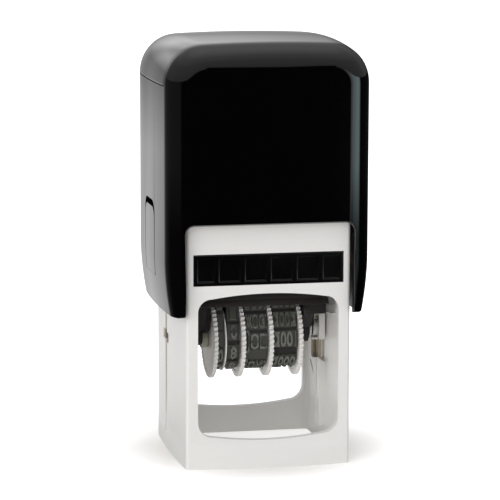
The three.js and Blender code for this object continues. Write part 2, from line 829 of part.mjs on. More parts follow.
function dateBand({ left, right }) {
  const inner = sideways(bandLoop(0), left - overrun, right + overrun);
  return sideways(bandLoop(bandThickness), left + bandSideGap, right - bandSideGap).subtract(inner);
}

function bandGuide() {
  const left = -wheelPlaces.hubLeft - dateSlotGap;
  const half = guideHalfDepth;
  const bottom = guideTop - guideThickness;
  const round = guideThickness / 4;
  const outline = [[-half, bottom], [half, bottom], ...arc(half - round, guideTop - round, round, 0, 90),
    ...arc(-half + round, guideTop - round, round, 90, 180)];
  return sideways(outline, left, wheelPlaces.hubRight + dateSlotGap);
}

// Finishes

function finish(colour, roughness, metalness = 0) {
  return () => new THREE.MeshStandardMaterial({ color: colour, roughness, metalness });
}

const whitePlastic = finish(0xe6e6ea, 0.45);
const glossBlack = finish(0x060607, 0.12);
const satinBlack = finish(0x101012, 0.4);
const carriageBrown = finish(0x241d1e, 0.5);
const bandRubber = finish(0x55554f, 0.7);
const dieRubber = finish(0x3a3634, 0.75);
const wheelWhite = finish(0xf0f0f2, 0.4);
const spacerBeige = finish(0xb4b19f, 0.5);
const padFelt = finish(0x17171f, 0.95);
const steel = finish(0xb8b8bc, 0.3, 1);
const paper = finish(0xf4f2ea, 0.9);

function part(name, body, material) {
  const mesh = new THREE.Mesh(geometryOf(body), material());
  mesh.name = name;
  return mesh;
}

// Assembly: the carriage's group stands at its pivot, and the axle's group hangs in it

function axleGroup() {
  const { tens, disc, ones, month, year } = wheelPlaces;
  const group = new THREE.Group();
  group.position.z = -axleDrop;
  group.add(
    part('wheel_axle', wheelAxle(), steel),
    part('left_axle_spacer', onAxle(leftSpacerRadius, -leftArmInside, tens.rim - axialGap), spacerBeige),
    part('day_tens_wheel', dateWheel(tens), wheelWhite),
    part('separator_disc', onAxle(discRadius, disc, disc + discThickness), wheelWhite),
    part('day_ones_wheel', dateWheel(ones), wheelWhite),
    part('month_wheel', dateWheel(month), wheelWhite),
    part('year_wheel', dateWheel(year), wheelWhite),
    part('right_axle_spacer', onAxle(rightSpacerRadius, year.rim + wheelRim + axialGap, rightArmInside),
      spacerBeige),
  );
  return group;
}

function carriageGroup() {
  const { tens, ones, month, year } = wheelPlaces;
  const group = new THREE.Group();
  group.position.z = pivotHeight;
  group.add(
    part('carriage_frame', carriageFrame(), carriageBrown),
    part('rubber_die', rubberDie(), dieRubber),
    part('band_guide', bandGuide(), carriageBrown),
    part('day_tens_band', dateBand(tens), bandRubber),
    part('day_ones_band', dateBand(ones), bandRubber),
    part('month_band', dateBand(month), bandRubber),
    part('year_band', dateBand(year), bandRubber),
    axleGroup(),
  );
  return group;
}

const stamp = new THREE.Group();
stamp.add(
  part('base_frame', baseFrame(), whitePlastic),
  part('ink_cassette', inkCassette(), satinBlack),
  part('ink_pad', inkPad(), padFelt),
  part('main_spring', mainSpring(), steel),
  part('cap_shell', capShell(), glossBlack),
  part('top_cover', topCover(), glossBlack),
  part('index_card', indexCard(), paper),
  part('inner_yoke', innerYoke(), whitePlastic),
  part('right_release_tongue', releaseTongue(), glossBlack),
  part('left_release_tongue', releaseTongue().mirror([1, 0, 0]), glossBlack),
  carriageGroup(),
);

export default stamp;
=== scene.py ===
import math

import bmesh
import bpy
from mathutils import Matrix, Vector


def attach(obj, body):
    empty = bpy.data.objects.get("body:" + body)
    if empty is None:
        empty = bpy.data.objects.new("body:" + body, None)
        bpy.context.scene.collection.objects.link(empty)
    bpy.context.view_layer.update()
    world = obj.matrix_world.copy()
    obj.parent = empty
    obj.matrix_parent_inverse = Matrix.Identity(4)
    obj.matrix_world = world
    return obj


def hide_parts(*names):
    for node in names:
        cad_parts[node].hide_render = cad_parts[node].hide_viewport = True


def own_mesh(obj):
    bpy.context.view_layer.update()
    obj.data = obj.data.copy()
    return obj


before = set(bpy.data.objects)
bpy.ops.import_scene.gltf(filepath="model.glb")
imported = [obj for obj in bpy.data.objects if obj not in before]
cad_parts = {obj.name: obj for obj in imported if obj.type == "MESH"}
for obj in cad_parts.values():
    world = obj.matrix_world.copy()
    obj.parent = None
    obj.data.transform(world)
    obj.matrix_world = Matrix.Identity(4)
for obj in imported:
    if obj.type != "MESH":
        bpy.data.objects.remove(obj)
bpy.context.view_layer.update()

# A self-inking date stamp. Every shape below is made in millimetres, +Z up, with the front facing -Y,
# and is brought to metres when its piece is finished.

MM = 0.001
OVERRUN = 2
ABOVE_ALL = 99
WELD = 1e-4
NEAR = 1e-3
LEFT, RIGHT = -1, 1

# Base frame
BASE_HALF = 18.5
BASE_CORNER = 0.8
BASE_TOP = 62
CAVITY_X = 16.9
CAVITY_Y = 16.7
DECK = (49.3, 51)
FOOT_TOP = 6.2
FOOT_GRID = 4.6
FOOT_RINGS = (1.5, 3, 4.6, 4.9, 5.2, 5.5, 5.8, 6.2)
FOOT_CREASE = (2.3, 4.6)
FOOT_BULGE = 1.5
FOOT_SIDE_BULGE = 0.6
WINDOW_X = 15.85
WINDOW_Z = (7.1, 38.1)
WINDOW_BOWS = (-1, 1)
WINDOW_CORNERS = (3.4, 3)
GUIDE_SLOT = ((0.5, (5.9, 8.1, 3.3, 48)), (0.4, (7, 10.5, 24.6, 26.9)), (0.4, (3.9, 7, 24.1, 26.5)))
RIB_X = 15.6
RIB_HALF = 1.4
RIB_Z = (4.3, 20.4)
LOBE_X = 16.5
LOBE = (-1, 5.5, 16, 19.8)
LEDGE_ENDS = ((-1, 31.1), (-11, 32.6))
POCKET = ((0.8, (0.2, 21)), (1.4, (11.6, 19.6)), (1.4, (11.6, 26)), (0.8, (0.2, 26.6)))
SLIT = ((0.4, (13.3, 17.2)), (0.25, (10.6, 14.9)))
SPRING_CUP = (8.4, 7.4, 54)
SPRING_POST = (4.4, 59)
CASSETTE_Z = (41.05, 48.05)
CASSETTE_BACK = -BASE_HALF + 1.6
CASSETTE_RIBS = (-11.7, -5.85, 0, 5.85, 11.7)
STOP_X = 12
TRAY_X = 14.2
TRAY_WALL = 0.85
PAD_Y = (-15.95, 15.45)
PAD_Z = (41.3, 46.65)

# Carriage, on its pivot. Each row of a table is a block's six faces, or a rod's radius, its ends and its edge.
PIVOT_Z = 27.5
AXLE_Z = PIVOT_Z - 1.6
ON_PIVOT, ON_AXLE = (0, PIVOT_Z), (0, AXLE_Z)
PLATE_X = 14.1
LIP_X = 14.5
LIP_REAR = -3.4
PLATE_Z = (PIVOT_Z + 8.1, PIVOT_Z + 9.5)
TURN_RADIUS = 16.9
BANDS_X = (-9.35, 9.25)
ARMS_X = ((-13.9, -11.85), (10.6, 12.8))
ARM_HALVES = (9, 4.4, 3)
ARM_STEP = (-11.9, -10.5, -5, 5, PIVOT_Z + 0.55, PLATE_Z[0] + 0.05)
ARM_SHOULDER = (12.7, 13.4, -5, 5, PIVOT_Z + 1.4, PIVOT_Z + 5.5)
GUSSETS = ((10.6, PLATE_X, -12, 9, PIVOT_Z + 5.4, PLATE_Z[0] + 0.05),
           (PLATE_X - 0.1, LIP_X, -12, LIP_REAR, PIVOT_Z + 5.4, PLATE_Z[0] + 0.05))
BAND_GUIDE = (-10.05, 9.95, -2.2, 2.2, PIVOT_Z + 7.8, PIVOT_Z + 9.4)
JOURNAL = 1.9
JOURNAL_CORES = (1.6, ((-14.3, -13.8), (12.7, 14.3)))
BUSHINGS = ((JOURNAL, (14, 15.2), 0.25), (2.3, (13.05, 13.55), 0.15), (JOURNAL, (-15.2, -14), 0.25))
AXLE = (1.2, (-13.2, 11.9))
AXLE_BORE = 1.25
DIE_X = 13.3
DIE_TOP = PIVOT_Z + 11
DIE_RELIEF = 0.6
DIE_FIELD = (DIE_X - 0.9, 12)
DIE_BORDER = (-10.6, 10.5, -5.3, 5.3)

# Yoke. Its foot is a neck, a back, a cap over the journal, a filler and a cradle, each with two distances from
# the middle, half a width and two heights. The filler's inner face gets painted shade, for the dark gap between
# the cap and the journal. Each of its two legs stands between two depths.
YOKE_X = (14.5, 15.4)
YOKE_PANEL = PIVOT_Z + 17.3
YOKE_DEPTH = 12.5
YOKE_PLATE = (81, 83)
YOKE_FOOT = ((*YOKE_X, 3, 31, YOKE_PANEL + 0.1), (YOKE_X[1] - 0.35, YOKE_X[1], 3, 25.2, 31.1),
             (14.2, YOKE_X[1], 1.6, 30, 31.9), (14.9, YOKE_X[1], 2, 29.5, 30.1),
             (13.65, YOKE_X[1], 1.6, 25, 25.5))
YOKE_LEG = (YOKE_X[1] - 0.3, 16.4, (1.65, 3), 25.2, 33)

# Cap
CAP_X = 23.4
CAP_Y = 21
CAP_BOTTOM = 34.3
CAP_SHOULDER = 94.4
CAP_CROWN = 0.35
CAP_TOP_RADIUS = 8.8
CAP_END_RADIUS = 5.5
CAP_BOW = 0.5
CAP_TAPER = 1.3
CAP_TAPER_TOP = 48
CAP_WALL = 1.8
CAP_TOES = ((2, 8, LEFT), (6.5, 14, RIGHT))
MOUTH_X = 18.9
MOUTH_TOP = 54.6
MOUTH_CORNER = 2
MOUTH_SLOPE = 0.4
COVER_SEAM = 84.8
COVER_Y = 15.6
COVER_WALL = 1.6
TONGUE_Z = (41.7, 56.9)
TONGUE_Y = (-5.4, 6)
STUD_X = 10

# Main spring, in the base's well
SPRING_RADIUS = 6
SPRING_WIRE = 0.55
SPRING_Z = (51.6, 80.4)
SPRING_TURNS = 8
SPRING_STEPS = 40

# Wheels: how deep each step of a tooth lies, then each rim's left side and each hub's two ends
WHEEL_RADIUS = 9
WHEEL_RIM = 0.9
WHEEL_TEETH = 48
TOOTH_DEPTHS = (0.6, 0.6, 0.15, 0, 0, 0.15)
WHEEL_DISH = (7.8, 5.9, 0.15)
WHEEL_WEB = 5.2
WHEEL_HUB = 5.4
WHEELS = {
    "day_tens": (-10.25, -9.35, -7.6),
    "day_ones": (-3.95, -7.0, -3.95),
    "month": (2.45, -2.95, 2.45),
    "year": (9.25, 3.45, 9.25),
}

# Bands: their outer face runs over half the guide's nose, round its corner, down a flank and round half the hub
BAND_HUB = 6.6
BAND_TOP = PIVOT_Z + 10.6
BAND_THICKNESS = 1.1
BAND_NOSE = 1.5
BAND_NOSE_Y = 3.6
BAND_RELIEF = 0.25
TYPE_RELIEF = 0.6
TYPE_HEIGHT = 3.1
PAD_REACH = 0.58 * TYPE_HEIGHT
NOSE_HALF, NOSE_Z = BAND_NOSE_Y - BAND_NOSE, BAND_TOP - BAND_NOSE
HUB_TO_NOSE = math.hypot(NOSE_HALF, NOSE_Z - AXLE_Z)
LEAN = math.atan2(NOSE_Z - AXLE_Z, NOSE_HALF) - math.acos((BAND_HUB - BAND_NOSE) / HUB_TO_NOSE)
CORNER = BAND_NOSE * (math.pi / 2 - LEAN)
FLANK = math.sqrt(HUB_TO_NOSE ** 2 - (BAND_HUB - BAND_NOSE) ** 2)
BAND_LENGTH = 2 * (NOSE_HALF + CORNER + FLANK + BAND_HUB * (LEAN + math.pi / 2))

# What stands on each band, by its distance in mm from the middle of the die down the front: "" is a plain pad
BAND_ROWS = {
    "day_tens": ((0, "2"), (6.4, "1"), (10.9, ""), (14.7, ""), (18.5, "0"), (22.8, "3"), (27.1, "2"),
                 (31.4, "1"), (35.7, "0"), (40, "3"), (44.3, "")),
    "day_ones": ((0, "3"), (4.6, "2"), (8.9, "1"), (13.2, "0"), (17.8, "9"), (22.1, "8"), (26.4, "7"),
                 (30.7, "6"), (35, "5"), (39.3, "4"), (43.6, "")),
    "month": ((0, "OCT."), (6.7, "SEP."), (11, "AUG."), (15.4, "JUL."), (18.5, ""), (21.9, "JUN."),
              (26.2, "MAY"), (30.5, "APR."), (34.8, "MAR."), (39.1, "FEB."), (43.4, "NOV.")),
    "year": ((0, "2004"), (6.4, "2003"), (10.7, "2002"), (15.1, "2001"), (20.7, "2000"), (25, "2011"),
             (29.3, "2010"), (33.6, "2009"), (37.9, "2008"), (42.2, "2007")),
}

# Photograph's view
CAMERA_LENS = 193.25
CAMERA_SENSOR = 36
CAMERA_DISTANCE = 0.60735
CAMERA_TARGET = Vector((-0.000427, 0, 0.045837))
CAMERA_AZIMUTH = math.radians(-11.706)
CAMERA_ELEVATION = math.radians(9.104)
CAMERA_ROLL = math.radians(-0.153)

# Even light, and the floor's own glow: to the camera, outside the base and inside it, and for the light it
# sends up.
# The glow to the camera is weak close round the base, so that the floor there is painted darker on top of its
# real shadow, and strong within the base's outline, which paints light on the floor under it. Each glow has two
# strengths, and the two distances between which it goes from one to the other.
WHITE = (1, 1, 1, 1)
AMBIENT = (0.51, 0.527, 0.565, 1)
FLOOR_COLOUR = (0.83, 0.8, 0.76, 1)
FLOOR_OUTSIDE = (0.1, 1, (0.02, 0.048))
FLOOR_INSIDE_PAINTED_LIGHT = (0.55, 0.1, (0.0168, 0.0183))
FLOOR_BOUNCE = 0.3
LAMPS = (("overhead", 0.6, (0, -0.1, 0.6), 1.2), ("left front", 1, (-0.93, -0.86, 0.4), 7.3))
LAMP_AIM = Vector((0, 0, 0.04))

# What polished surfaces mirror: strengths by bearing, in degrees from the front to the right, and by height
# above the level, some with a tint. Then where the walls' rear part begins, how strong they are by distance
# before and behind and by height, and where the ceiling begins.
ROOM_PEAK = 4
COOL = (0.75, 0.97, 1)
ROOM_WALLS = ((-180, 0.72), (-173, 0.5), (-167, 0.67), (-161, 0.64), (-150, 0.42), (-138, 0.13), (-50, 0.13),
              (-38, 0), (15, 0), (20, 0.85), (34, 2.2, *COOL), (54, 2.9, *COOL), (60, 2.4, *COOL),
              (68, 0.02), (156, 0.03), (174, 0.65), (180, 0.72))
ROOM_CEILING = ((0, 0.42), (31, 0.55), (51, 0.8), (81, 1.3), (90, 1.5))
ROOM_REAR = (0, 1, (100, 150))
ROOM_BEFORE = (0.15, 1, (0.36, 0.55))
ROOM_BEHIND = (1.38, 0.75, (0.58, 0.9))
ROOM_LIFT = (1, 2.6, (4, 13))
CEILING_BEFORE = (0, 1, (3.5, 5))
CEILING_BEHIND = (0, 1, (12, 45))


# Solids

def block(left, right, front, rear, bottom, top):
    """A cuboid between six faces."""
    low, high = Vector((left, front, bottom)), Vector((right, rear, top))
    bm = bmesh.new()
    bmesh.ops.create_cube(bm, size=1)
    bmesh.ops.scale(bm, vec=high - low, verts=bm.verts)
    bmesh.ops.translate(bm, vec=(low + high) / 2, verts=bm.verts)
    return bm


def beside(side, near, far, *rest):
    """A cuboid on one side, between two distances from the middle."""
    return block(*sorted((side * near, side * far)), *rest)


def rod(radius, ends, axis="X", at=(0, 0), sides=64):
    """A cylinder between two places on an axis, whose other two coordinates are given."""
    quarter = math.pi / 2
    turn = {"X": Matrix.Rotation(quarter, 4, "Y"), "Y": Matrix.Rotation(-quarter, 4, "X"), "Z": Matrix()}
    middle = list(at)
    middle.insert("XYZ".index(axis), sum(ends) / 2)
    bm = bmesh.new()
    bmesh.ops.create_cone(bm, cap_ends=True, segments=sides, radius1=radius, radius2=radius,
                          depth=ends[1] - ends[0], matrix=Matrix.Translation(middle) @ turn[axis])
    return bm


def bevelled(bm, edges, radius, segments):
    bmesh.ops.bevel(bm, geom=edges, offset=radius, affect="EDGES", segments=segments, profile=0.5,
                    material=-1, clamp_overlap=True)
    return bm


def rounded(bm, radius, segments, chosen):
    """Rounds the edges for which chosen says yes, given their two ends."""
    edges = [edge for edge in bm.edges if chosen(*(vert.co for vert in edge.verts))]
    return bevelled(bm, edges, radius, segments)


def along(axis, where=lambda end: True):
    """A test for edges that run along an axis, and of which one end lies where another test says."""
    index = "XYZ".index(axis)
    return lambda a, b: abs((b - a).normalized()[index]) > 0.99 and where(a)


def sliced(bm, axis, places):
    """Cuts a mesh's faces on planes across an axis, so that they can bend."""
    normal = Vector([float(name == axis) for name in "XYZ"])
    for place in places:
        everything = bm.verts[:] + bm.edges[:] + bm.faces[:]
        bmesh.ops.bisect_plane(bm, geom=everything, dist=WELD, plane_co=normal * place, plane_no=normal)
    return bm


def steps(start, end, count):
    """Places between two ends, both left out."""
    return [start + (end - start) * n / count for n in range(1, count)]


def mesh_of(name, bm):
    """A mesh made from a solid, which is given up."""
    mesh = bpy.data.meshes.new(name)
    bm.to_mesh(mesh)
    bm.free()
    return mesh


def linked(name, data):
    """An object in the scene."""
    made = bpy.data.objects.new(name, data)
    bpy.context.scene.collection.objects.link(made)
    return made


def combined(body, tool, operation):
    """One solid cut by, joined to or kept within another."""
    first, second = (linked("solid", mesh_of("solid", bm)) for bm in (body, tool))
    boolean = first.modifiers.new("boolean", "BOOLEAN")
    boolean.operation = operation
    boolean.solver = "EXACT"
    boolean.object = second
    bm = bmesh.new()
    bm.from_object(first, bpy.context.evaluated_depsgraph_get())
    for made in (first, second):
        mesh = made.data
        bpy.data.objects.remove(made)
        bpy.data.meshes.remove(mesh)
    bmesh.ops.remove_doubles(bm, verts=bm.verts, dist=WELD)
    return bm


def cut(body, *tools):
    for tool in tools:
        body = combined(body, tool, "DIFFERENCE")
    return body


def joined(body, *tools):
    for tool in tools:
        body = combined(body, tool, "UNION")
    return body


def within(body, tool):
    return combined(body, tool, "INTERSECT")


def gathered(bm, *solids):
    """Adds loose solids to a mesh."""
    for solid in solids:
        mesh = mesh_of("solid", solid)
        bm.from_mesh(mesh)
        bpy.data.meshes.remove(mesh)
    return bm


def hull(*solids):
    """The skin stretched round several solids."""
    bm = gathered(bmesh.new(), *solids)
    made = bmesh.ops.convex_hull(bm, input=bm.verts)
    spare = [item for item in made["geom_interior"] if isinstance(item, bmesh.types.BMVert)]
    bmesh.ops.delete(bm, geom=spare, context="VERTS")
    bmesh.ops.dissolve_limit(bm, angle_limit=1e-3, verts=bm.verts, edges=bm.edges)
    bmesh.ops.recalc_face_normals(bm, faces=bm.faces)
    return bm


def softened(bm, radius, segments=2, angle=32):
    """Takes the sharpness off a solid's edges."""
    bmesh.ops.dissolve_limit(bm, angle_limit=math.radians(0.2), verts=bm.verts, edges=bm.edges)
    bmesh.ops.dissolve_degenerate(bm, dist=NEAR, edges=bm.edges)
    sharp = [edge for edge in bm.edges if edge.is_manifold and edge.calc_face_angle(0) > math.radians(angle)]
    return bevelled(bm, sharp, radius, segments)


def piece(name, bm, body, slot, nodes=(), smooth=34):
    """Brings a piece to metres, and gives it its body, its finish and the solids that it stands for."""
    bmesh.ops.remove_doubles(bm, verts=bm.verts, dist=WELD)
    bmesh.ops.scale(bm, vec=(MM, MM, MM), verts=bm.verts)
    mesh = mesh_of(name, bm)
    for face in mesh.polygons:
        face.use_smooth = True
    mesh.set_sharp_from_angle(angle=math.radians(smooth))
    made = linked(name, mesh)
    mesh.materials.append(FINISHES[slot])
    weighted = made.modifiers.new("weighted normals", "WEIGHTED_NORMAL")
    weighted.keep_sharp = True
    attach(made, body)
    if nodes:
        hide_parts(*nodes)
    return made


# Finishes

def linear(*colour):
    """A colour as it looks on a screen, from 0 to 255, in linear light."""
    return tuple(((c / 255 + 0.055) / 1.055) ** 2.4 if c > 10 else c / 255 / 12.92 for c in colour) + (1,)


def node_group(name, inputs, outputs):
    group = bpy.data.node_groups.new(name, "ShaderNodeTree")
    for label, value in inputs.items():
        group.interface.new_socket(label, in_out="INPUT", socket_type="NodeSocketFloat").default_value = value
    for label in outputs:
        group.interface.new_socket(label, in_out="OUTPUT", socket_type="NodeSocketFloat")
    return group, group.nodes.new("NodeGroupInput"), group.nodes.new("NodeGroupOutput")


def feed(tree, socket, given):
    """Gives a socket a plain value, or what another socket says."""
    if isinstance(given, (int, float, tuple)):
        socket.default_value = given
    else:
        tree.links.new(given, socket)


def node_on(tree, kind, *given, **settings):
    """A node of one kind, with its settings made and its first inputs fed."""
    node = tree.nodes.new(kind)
    for name, value in settings.items():
        setattr(node, name, value)
    for socket, value in zip(node.inputs, given):
        feed(tree, socket, value)
    return node


def noise(tree, scale, detail=4):
    """A noise texture on the piece's own coordinates, with its scale from a socket or a number."""
    texture = node_on(tree, "ShaderNodeTexNoise", node_on(tree, "ShaderNodeTexCoord").outputs["Object"])
    feed(tree, texture.inputs["Scale"], scale)
    feed(tree, texture.inputs["Detail"], detail)
    return texture.outputs["Fac"]


def value_node(tree, kind, *inputs, clamp=False):
    """A Math node's result."""
    return node_on(tree, "ShaderNodeMath", *inputs, operation=kind, use_clamp=clamp).outputs[0]


def mixed(tree, factor, first, second, kind="RGBA"):
    """A blend of two values or sockets."""
    node = node_on(tree, "ShaderNodeMix", data_type=kind)
    sockets = {socket.identifier: socket for socket in node.inputs}
    suffix = {"RGBA": "Color", "FLOAT": "Float"}[kind]
    for label, given in (("Factor_Float", factor), (f"A_{suffix}", first), (f"B_{suffix}", second)):
        feed(tree, sockets[label], given)
    return next(socket for socket in node.outputs if socket.identifier == f"Result_{suffix}")


def mapped(tree, value, low, high, span=(0.3, 0.7)):
    """A value from one span brought to another, whose ends are sockets or numbers."""
    return node_on(tree, "ShaderNodeMapRange", value, *span, low, high).outputs["Result"]


def make_moulded_grain():
    """Fine unevenness of a moulded surface, as a height."""
    group, given, made = node_group("moulded grain", {"Scale": 900.0, "Waviness": 60.0}, ["Height"])
    fine = noise(group, given.outputs["Scale"], 3)
    wide = noise(group, given.outputs["Waviness"], 1)
    group.links.new(value_node(group, "MULTIPLY_ADD", fine, 0.3, wide), made.inputs["Height"])
    return group


def make_handling():
    """Patches where hands have polished or dulled a surface."""
    group, given, made = node_group("handling", {"Scale": 90.0, "Polished": 0.1, "Dull": 0.2}, ["Roughness"])
    patches = noise(group, given.outputs["Scale"], 5)
    result = mapped(group, patches, given.outputs["Polished"], given.outputs["Dull"])
    group.links.new(result, made.inputs["Roughness"])
    return group


def make_edge_wear():
    """A mask of a piece's rounded edges, broken up a little."""
    group, given, made = node_group("edge wear", {"Amount": 1.0, "Scale": 700.0}, ["Mask"])
    bevel = node_on(group, "ShaderNodeBevel", 0.25 * MM, samples=4)
    shape = node_on(group, "ShaderNodeNewGeometry")
    dot = node_on(group, "ShaderNodeVectorMath", bevel.outputs["Normal"], shape.outputs["True Normal"],
                  operation="DOT_PRODUCT")
    edge = mapped(group, dot.outputs["Value"], 1, 0, (0.85, 0.995))
    broken = mapped(group, noise(group, given.outputs["Scale"], 4), 0.2, given.outputs["Amount"])
    group.links.new(value_node(group, "MULTIPLY", edge, broken, clamp=True), made.inputs["Mask"])
    return group


GRAIN = make_moulded_grain()
HANDLING = make_handling()
EDGE_WEAR = make_edge_wear()
FINISHES = {}


def set_inputs(node, **values):
    """Gives a node's inputs plain values, by their names with underscores for spaces."""
    for label, value in values.items():
        node.inputs[label.replace("_", " ")].default_value = value


def placed(tree, group, **values):
    node = node_on(tree, "ShaderNodeGroup", node_tree=group)
    set_inputs(node, **values)
    return node


def bumped(tree, shader, height, depth):
    """A height in millimetres that the shader feels in its normal."""
    bump = node_on(tree, "ShaderNodeBump")
    feed(tree, bump.inputs["Distance"], depth * MM)
    feed(tree, bump.inputs["Height"], height)
    tree.links.new(bump.outputs["Normal"], shader.inputs["Normal"])


def finish(slot, colour, worn, polished, dull, grain=0.004, grain_scale=900.0, wear=0.5, **plain):
    """A moulded, pressed or turned surface: its two colours, its two roughnesses and how deep its grain is."""
    material = FINISHES[slot] = bpy.data.materials.new(slot.replace("_", " "))
    material.use_nodes = True
    tree = material.node_tree
    shader = tree.nodes["Principled BSDF"]
    set_inputs(shader, **plain)
    mask = placed(tree, EDGE_WEAR, Amount=wear).outputs["Mask"]
    tree.links.new(mixed(tree, mask, linear(*colour), linear(*worn)), shader.inputs["Base Color"])
    touched = placed(tree, HANDLING, Polished=polished, Dull=dull)
    tree.links.new(touched.outputs["Roughness"], shader.inputs["Roughness"])
    surface = placed(tree, GRAIN, Scale=grain_scale)
    bumped(tree, shader, surface.outputs["Height"], grain)
    return material


def marked(material, attribute, *colours):
    """Mixes other colours into a finish, one after another as an attribute of the piece rises from 0 to 1."""
    tree = material.node_tree
    shader = tree.nodes["Principled BSDF"]
    mark = node_on(tree, "ShaderNodeAttribute", attribute_name=attribute)
    under = shader.inputs["Base Color"].links[0].from_socket
    for n, colour in enumerate(colours):
        share = mapped(tree, mark.outputs["Fac"], 0, 1, (n / len(colours), (n + 1) / len(colours)))
        under = mixed(tree, share, under, linear(*colour))
    tree.links.new(under, shader.inputs["Base Color"])


# The white plastic's recess colours are painted shade. They darken the side walls' hollows and the yoke's
# fillers towards brown.
marked(finish("white_plastic", (228, 226, 222), (238, 237, 235), 0.3, 0.42, grain=0.01,
              Subsurface_Weight=0.05, Subsurface_Scale=0.6 * MM), "recess", (162, 148, 120), (96, 90, 58))
finish("wheel_white", (236, 234, 230), (244, 243, 241), 0.32, 0.42, grain=0.006,
       Subsurface_Weight=0.08, Subsurface_Scale=0.6 * MM)
finish("gloss_black", (4, 3, 4), (20, 20, 20), 0.03, 0.07, grain=0.003, wear=0.35)
finish("satin_black", (5, 4, 5), (30, 30, 31), 0.14, 0.24, grain=0.006, wear=0.7)
finish("carriage_brown", (38, 31, 32), (58, 49, 49), 0.34, 0.5, grain=0.012, wear=0.5)
# The band rubber's raised colours are painted light. Pads and type are made lighter the higher they stand, in
# place of light on their tops and shade in the grooves between them.
marked(finish("band_rubber", (44, 41, 38), (70, 67, 62), 0.42, 0.6, grain=0.03, grain_scale=1400.0, wear=0.8),
       "raised", (72, 72, 66), (112, 114, 106))
finish("die_rubber", (56, 51, 49), (82, 76, 73), 0.6, 0.78, grain=0.03, grain_scale=1400.0)
finish("spacer_beige", (180, 177, 159), (204, 201, 186), 0.4, 0.52, grain=0.01)
finish("steel", (186, 186, 190), (214, 214, 217), 0.18, 0.3, grain=0.004, Metallic=1.0)
finish("ink_felt", (24, 24, 32), (38, 38, 48), 0.85, 0.98, grain=0.25, grain_scale=2200.0, Sheen_Weight=0.3)
finish("card", (240, 238, 230), (230, 226, 214), 0.75, 0.92, grain=0.02, grain_scale=3000.0)


# Base frame: a square tube on a swelling foot, with a window, a cassette bay and a well for the spring

def swell_foot(bm):
    """Swells the lowest part out below a crease that dips in the middle of each side."""
    corner = BASE_HALF - BASE_CORNER
    for vert in bm.verts:
        x, y, z = vert.co
        if z > FOOT_TOP - NEAR:
            continue
        above = max(0, (z - FOOT_GRID) / (FOOT_TOP - FOOT_GRID))
        amount = (1 - above) ** 1.5
        share = [min(1, abs(place) / corner) for place in (x, y)]
        middle = 1
        if abs(y) > BASE_HALF - NEAR:
            vert.co.y += math.copysign(FOOT_BULGE * amount * (1 - share[0] ** 2), y)
            middle = share[0]
        elif abs(x) > BASE_HALF - NEAR:
            vert.co.x += math.copysign(FOOT_SIDE_BULGE * amount * (1 - share[1] ** 2), x)
            middle = share[1]
        crease = FOOT_CREASE[0] + (FOOT_CREASE[1] - FOOT_CREASE[0]) * middle ** 2
        if z <= FOOT_GRID:
            vert.co.z = crease * z / FOOT_GRID
        else:
            vert.co.z = crease + (FOOT_TOP - crease) * above


def window_cutter():
    """The window's outline: corners of two radii, and edges that bow at the top and the bottom."""
    bm = block(-WINDOW_X, WINDOW_X, -BASE_HALF - OVERRUN, BASE_HALF + OVERRUN, *WINDOW_Z)
    rounded(bm, WINDOW_CORNERS[0], 12, along("Y", lambda a: a.z < 20))
    rounded(bm, WINDOW_CORNERS[1], 10, along("Y", lambda a: a.z > 20 and abs(a.x) > 15))
    sliced(bm, "X", steps(-WINDOW_X, WINDOW_X, 24))
    for vert in bm.verts:
        for level, rise, corner in zip(WINDOW_Z, WINDOW_BOWS, WINDOW_CORNERS):
            reach = WINDOW_X - corner
            if abs(vert.co.z - level) < NEAR and abs(vert.co.x) < reach:
                vert.co.z += rise * (1 - (vert.co.x / reach) ** 2)
    return bm


def guide_slot(side):
    """One side's slot, with the notches where the carriage parks."""
    return joined(*(rounded(beside(side, CAVITY_X - 0.1, BASE_HALF + OVERRUN, *outline), radius, 3, along("X"))
                    for radius, outline in GUIDE_SLOT))


def wall_rib(side):
    """A rib that guides the yoke's foot, round at its lower end, with a lobe to the rear, and a ledge above."""
    outer = CAVITY_X + 0.8
    rib = beside(side, RIB_X, outer, -RIB_HALF, RIB_HALF, *RIB_Z)
    for vert in rib.verts:
        if vert.co.z > RIB_Z[1] - 1 and abs(vert.co.x) > CAVITY_X:
            vert.co.z -= 1.45
    rounded(rib, RIB_HALF - 0.05, 8, along("X", lambda a: a.z < 10))
    lobe = rounded(beside(side, LOBE_X, outer, *LOBE), 1.7, 8, along("X", lambda a: a.y > 3))
    ledge = hull(*(rod(0.18, sorted((side * (CAVITY_X - 0.5), side * outer)), at=at, sides=12)
                   for at in LEDGE_ENDS))
    return joined(rib, lobe, ledge)


def wall_pocket(side):
    """A shallow hollow behind the yoke's foot, with a slit that runs on from its lower end."""
    ends = sorted((side * (CAVITY_X - 0.3), side * (CAVITY_X + 1)))
    hollow, slit = (hull(*(rod(radius, ends, at=at, sides=sides) for radius, at in corners))
                    for corners, sides in ((POCKET, 32), (SLIT, 16)))
    return joined(hollow, slit)


def paint_shade(bm, painted_shade_of):
    """Marks how much painted shade a moulding's recesses get, by the place of each corner."""
    mark = bm.verts.layers.float.new("recess")
    for vert in bm.verts:
        vert[mark] = painted_shade_of(vert.co.x, vert.co.y, vert.co.z)


def painted_wall_shade(x, y, z):
    """How much painted shade a side wall's hollow gets: most behind the yoke's foot and in the slit."""
    if not (-1 < y < 14 and 14 < z < 28 and CAVITY_X + 0.3 < abs(x) < BASE_HALF - 0.3):
        return 0
    return 1 if (y < 3 and z < 23) or z < 17.6 else 0.55


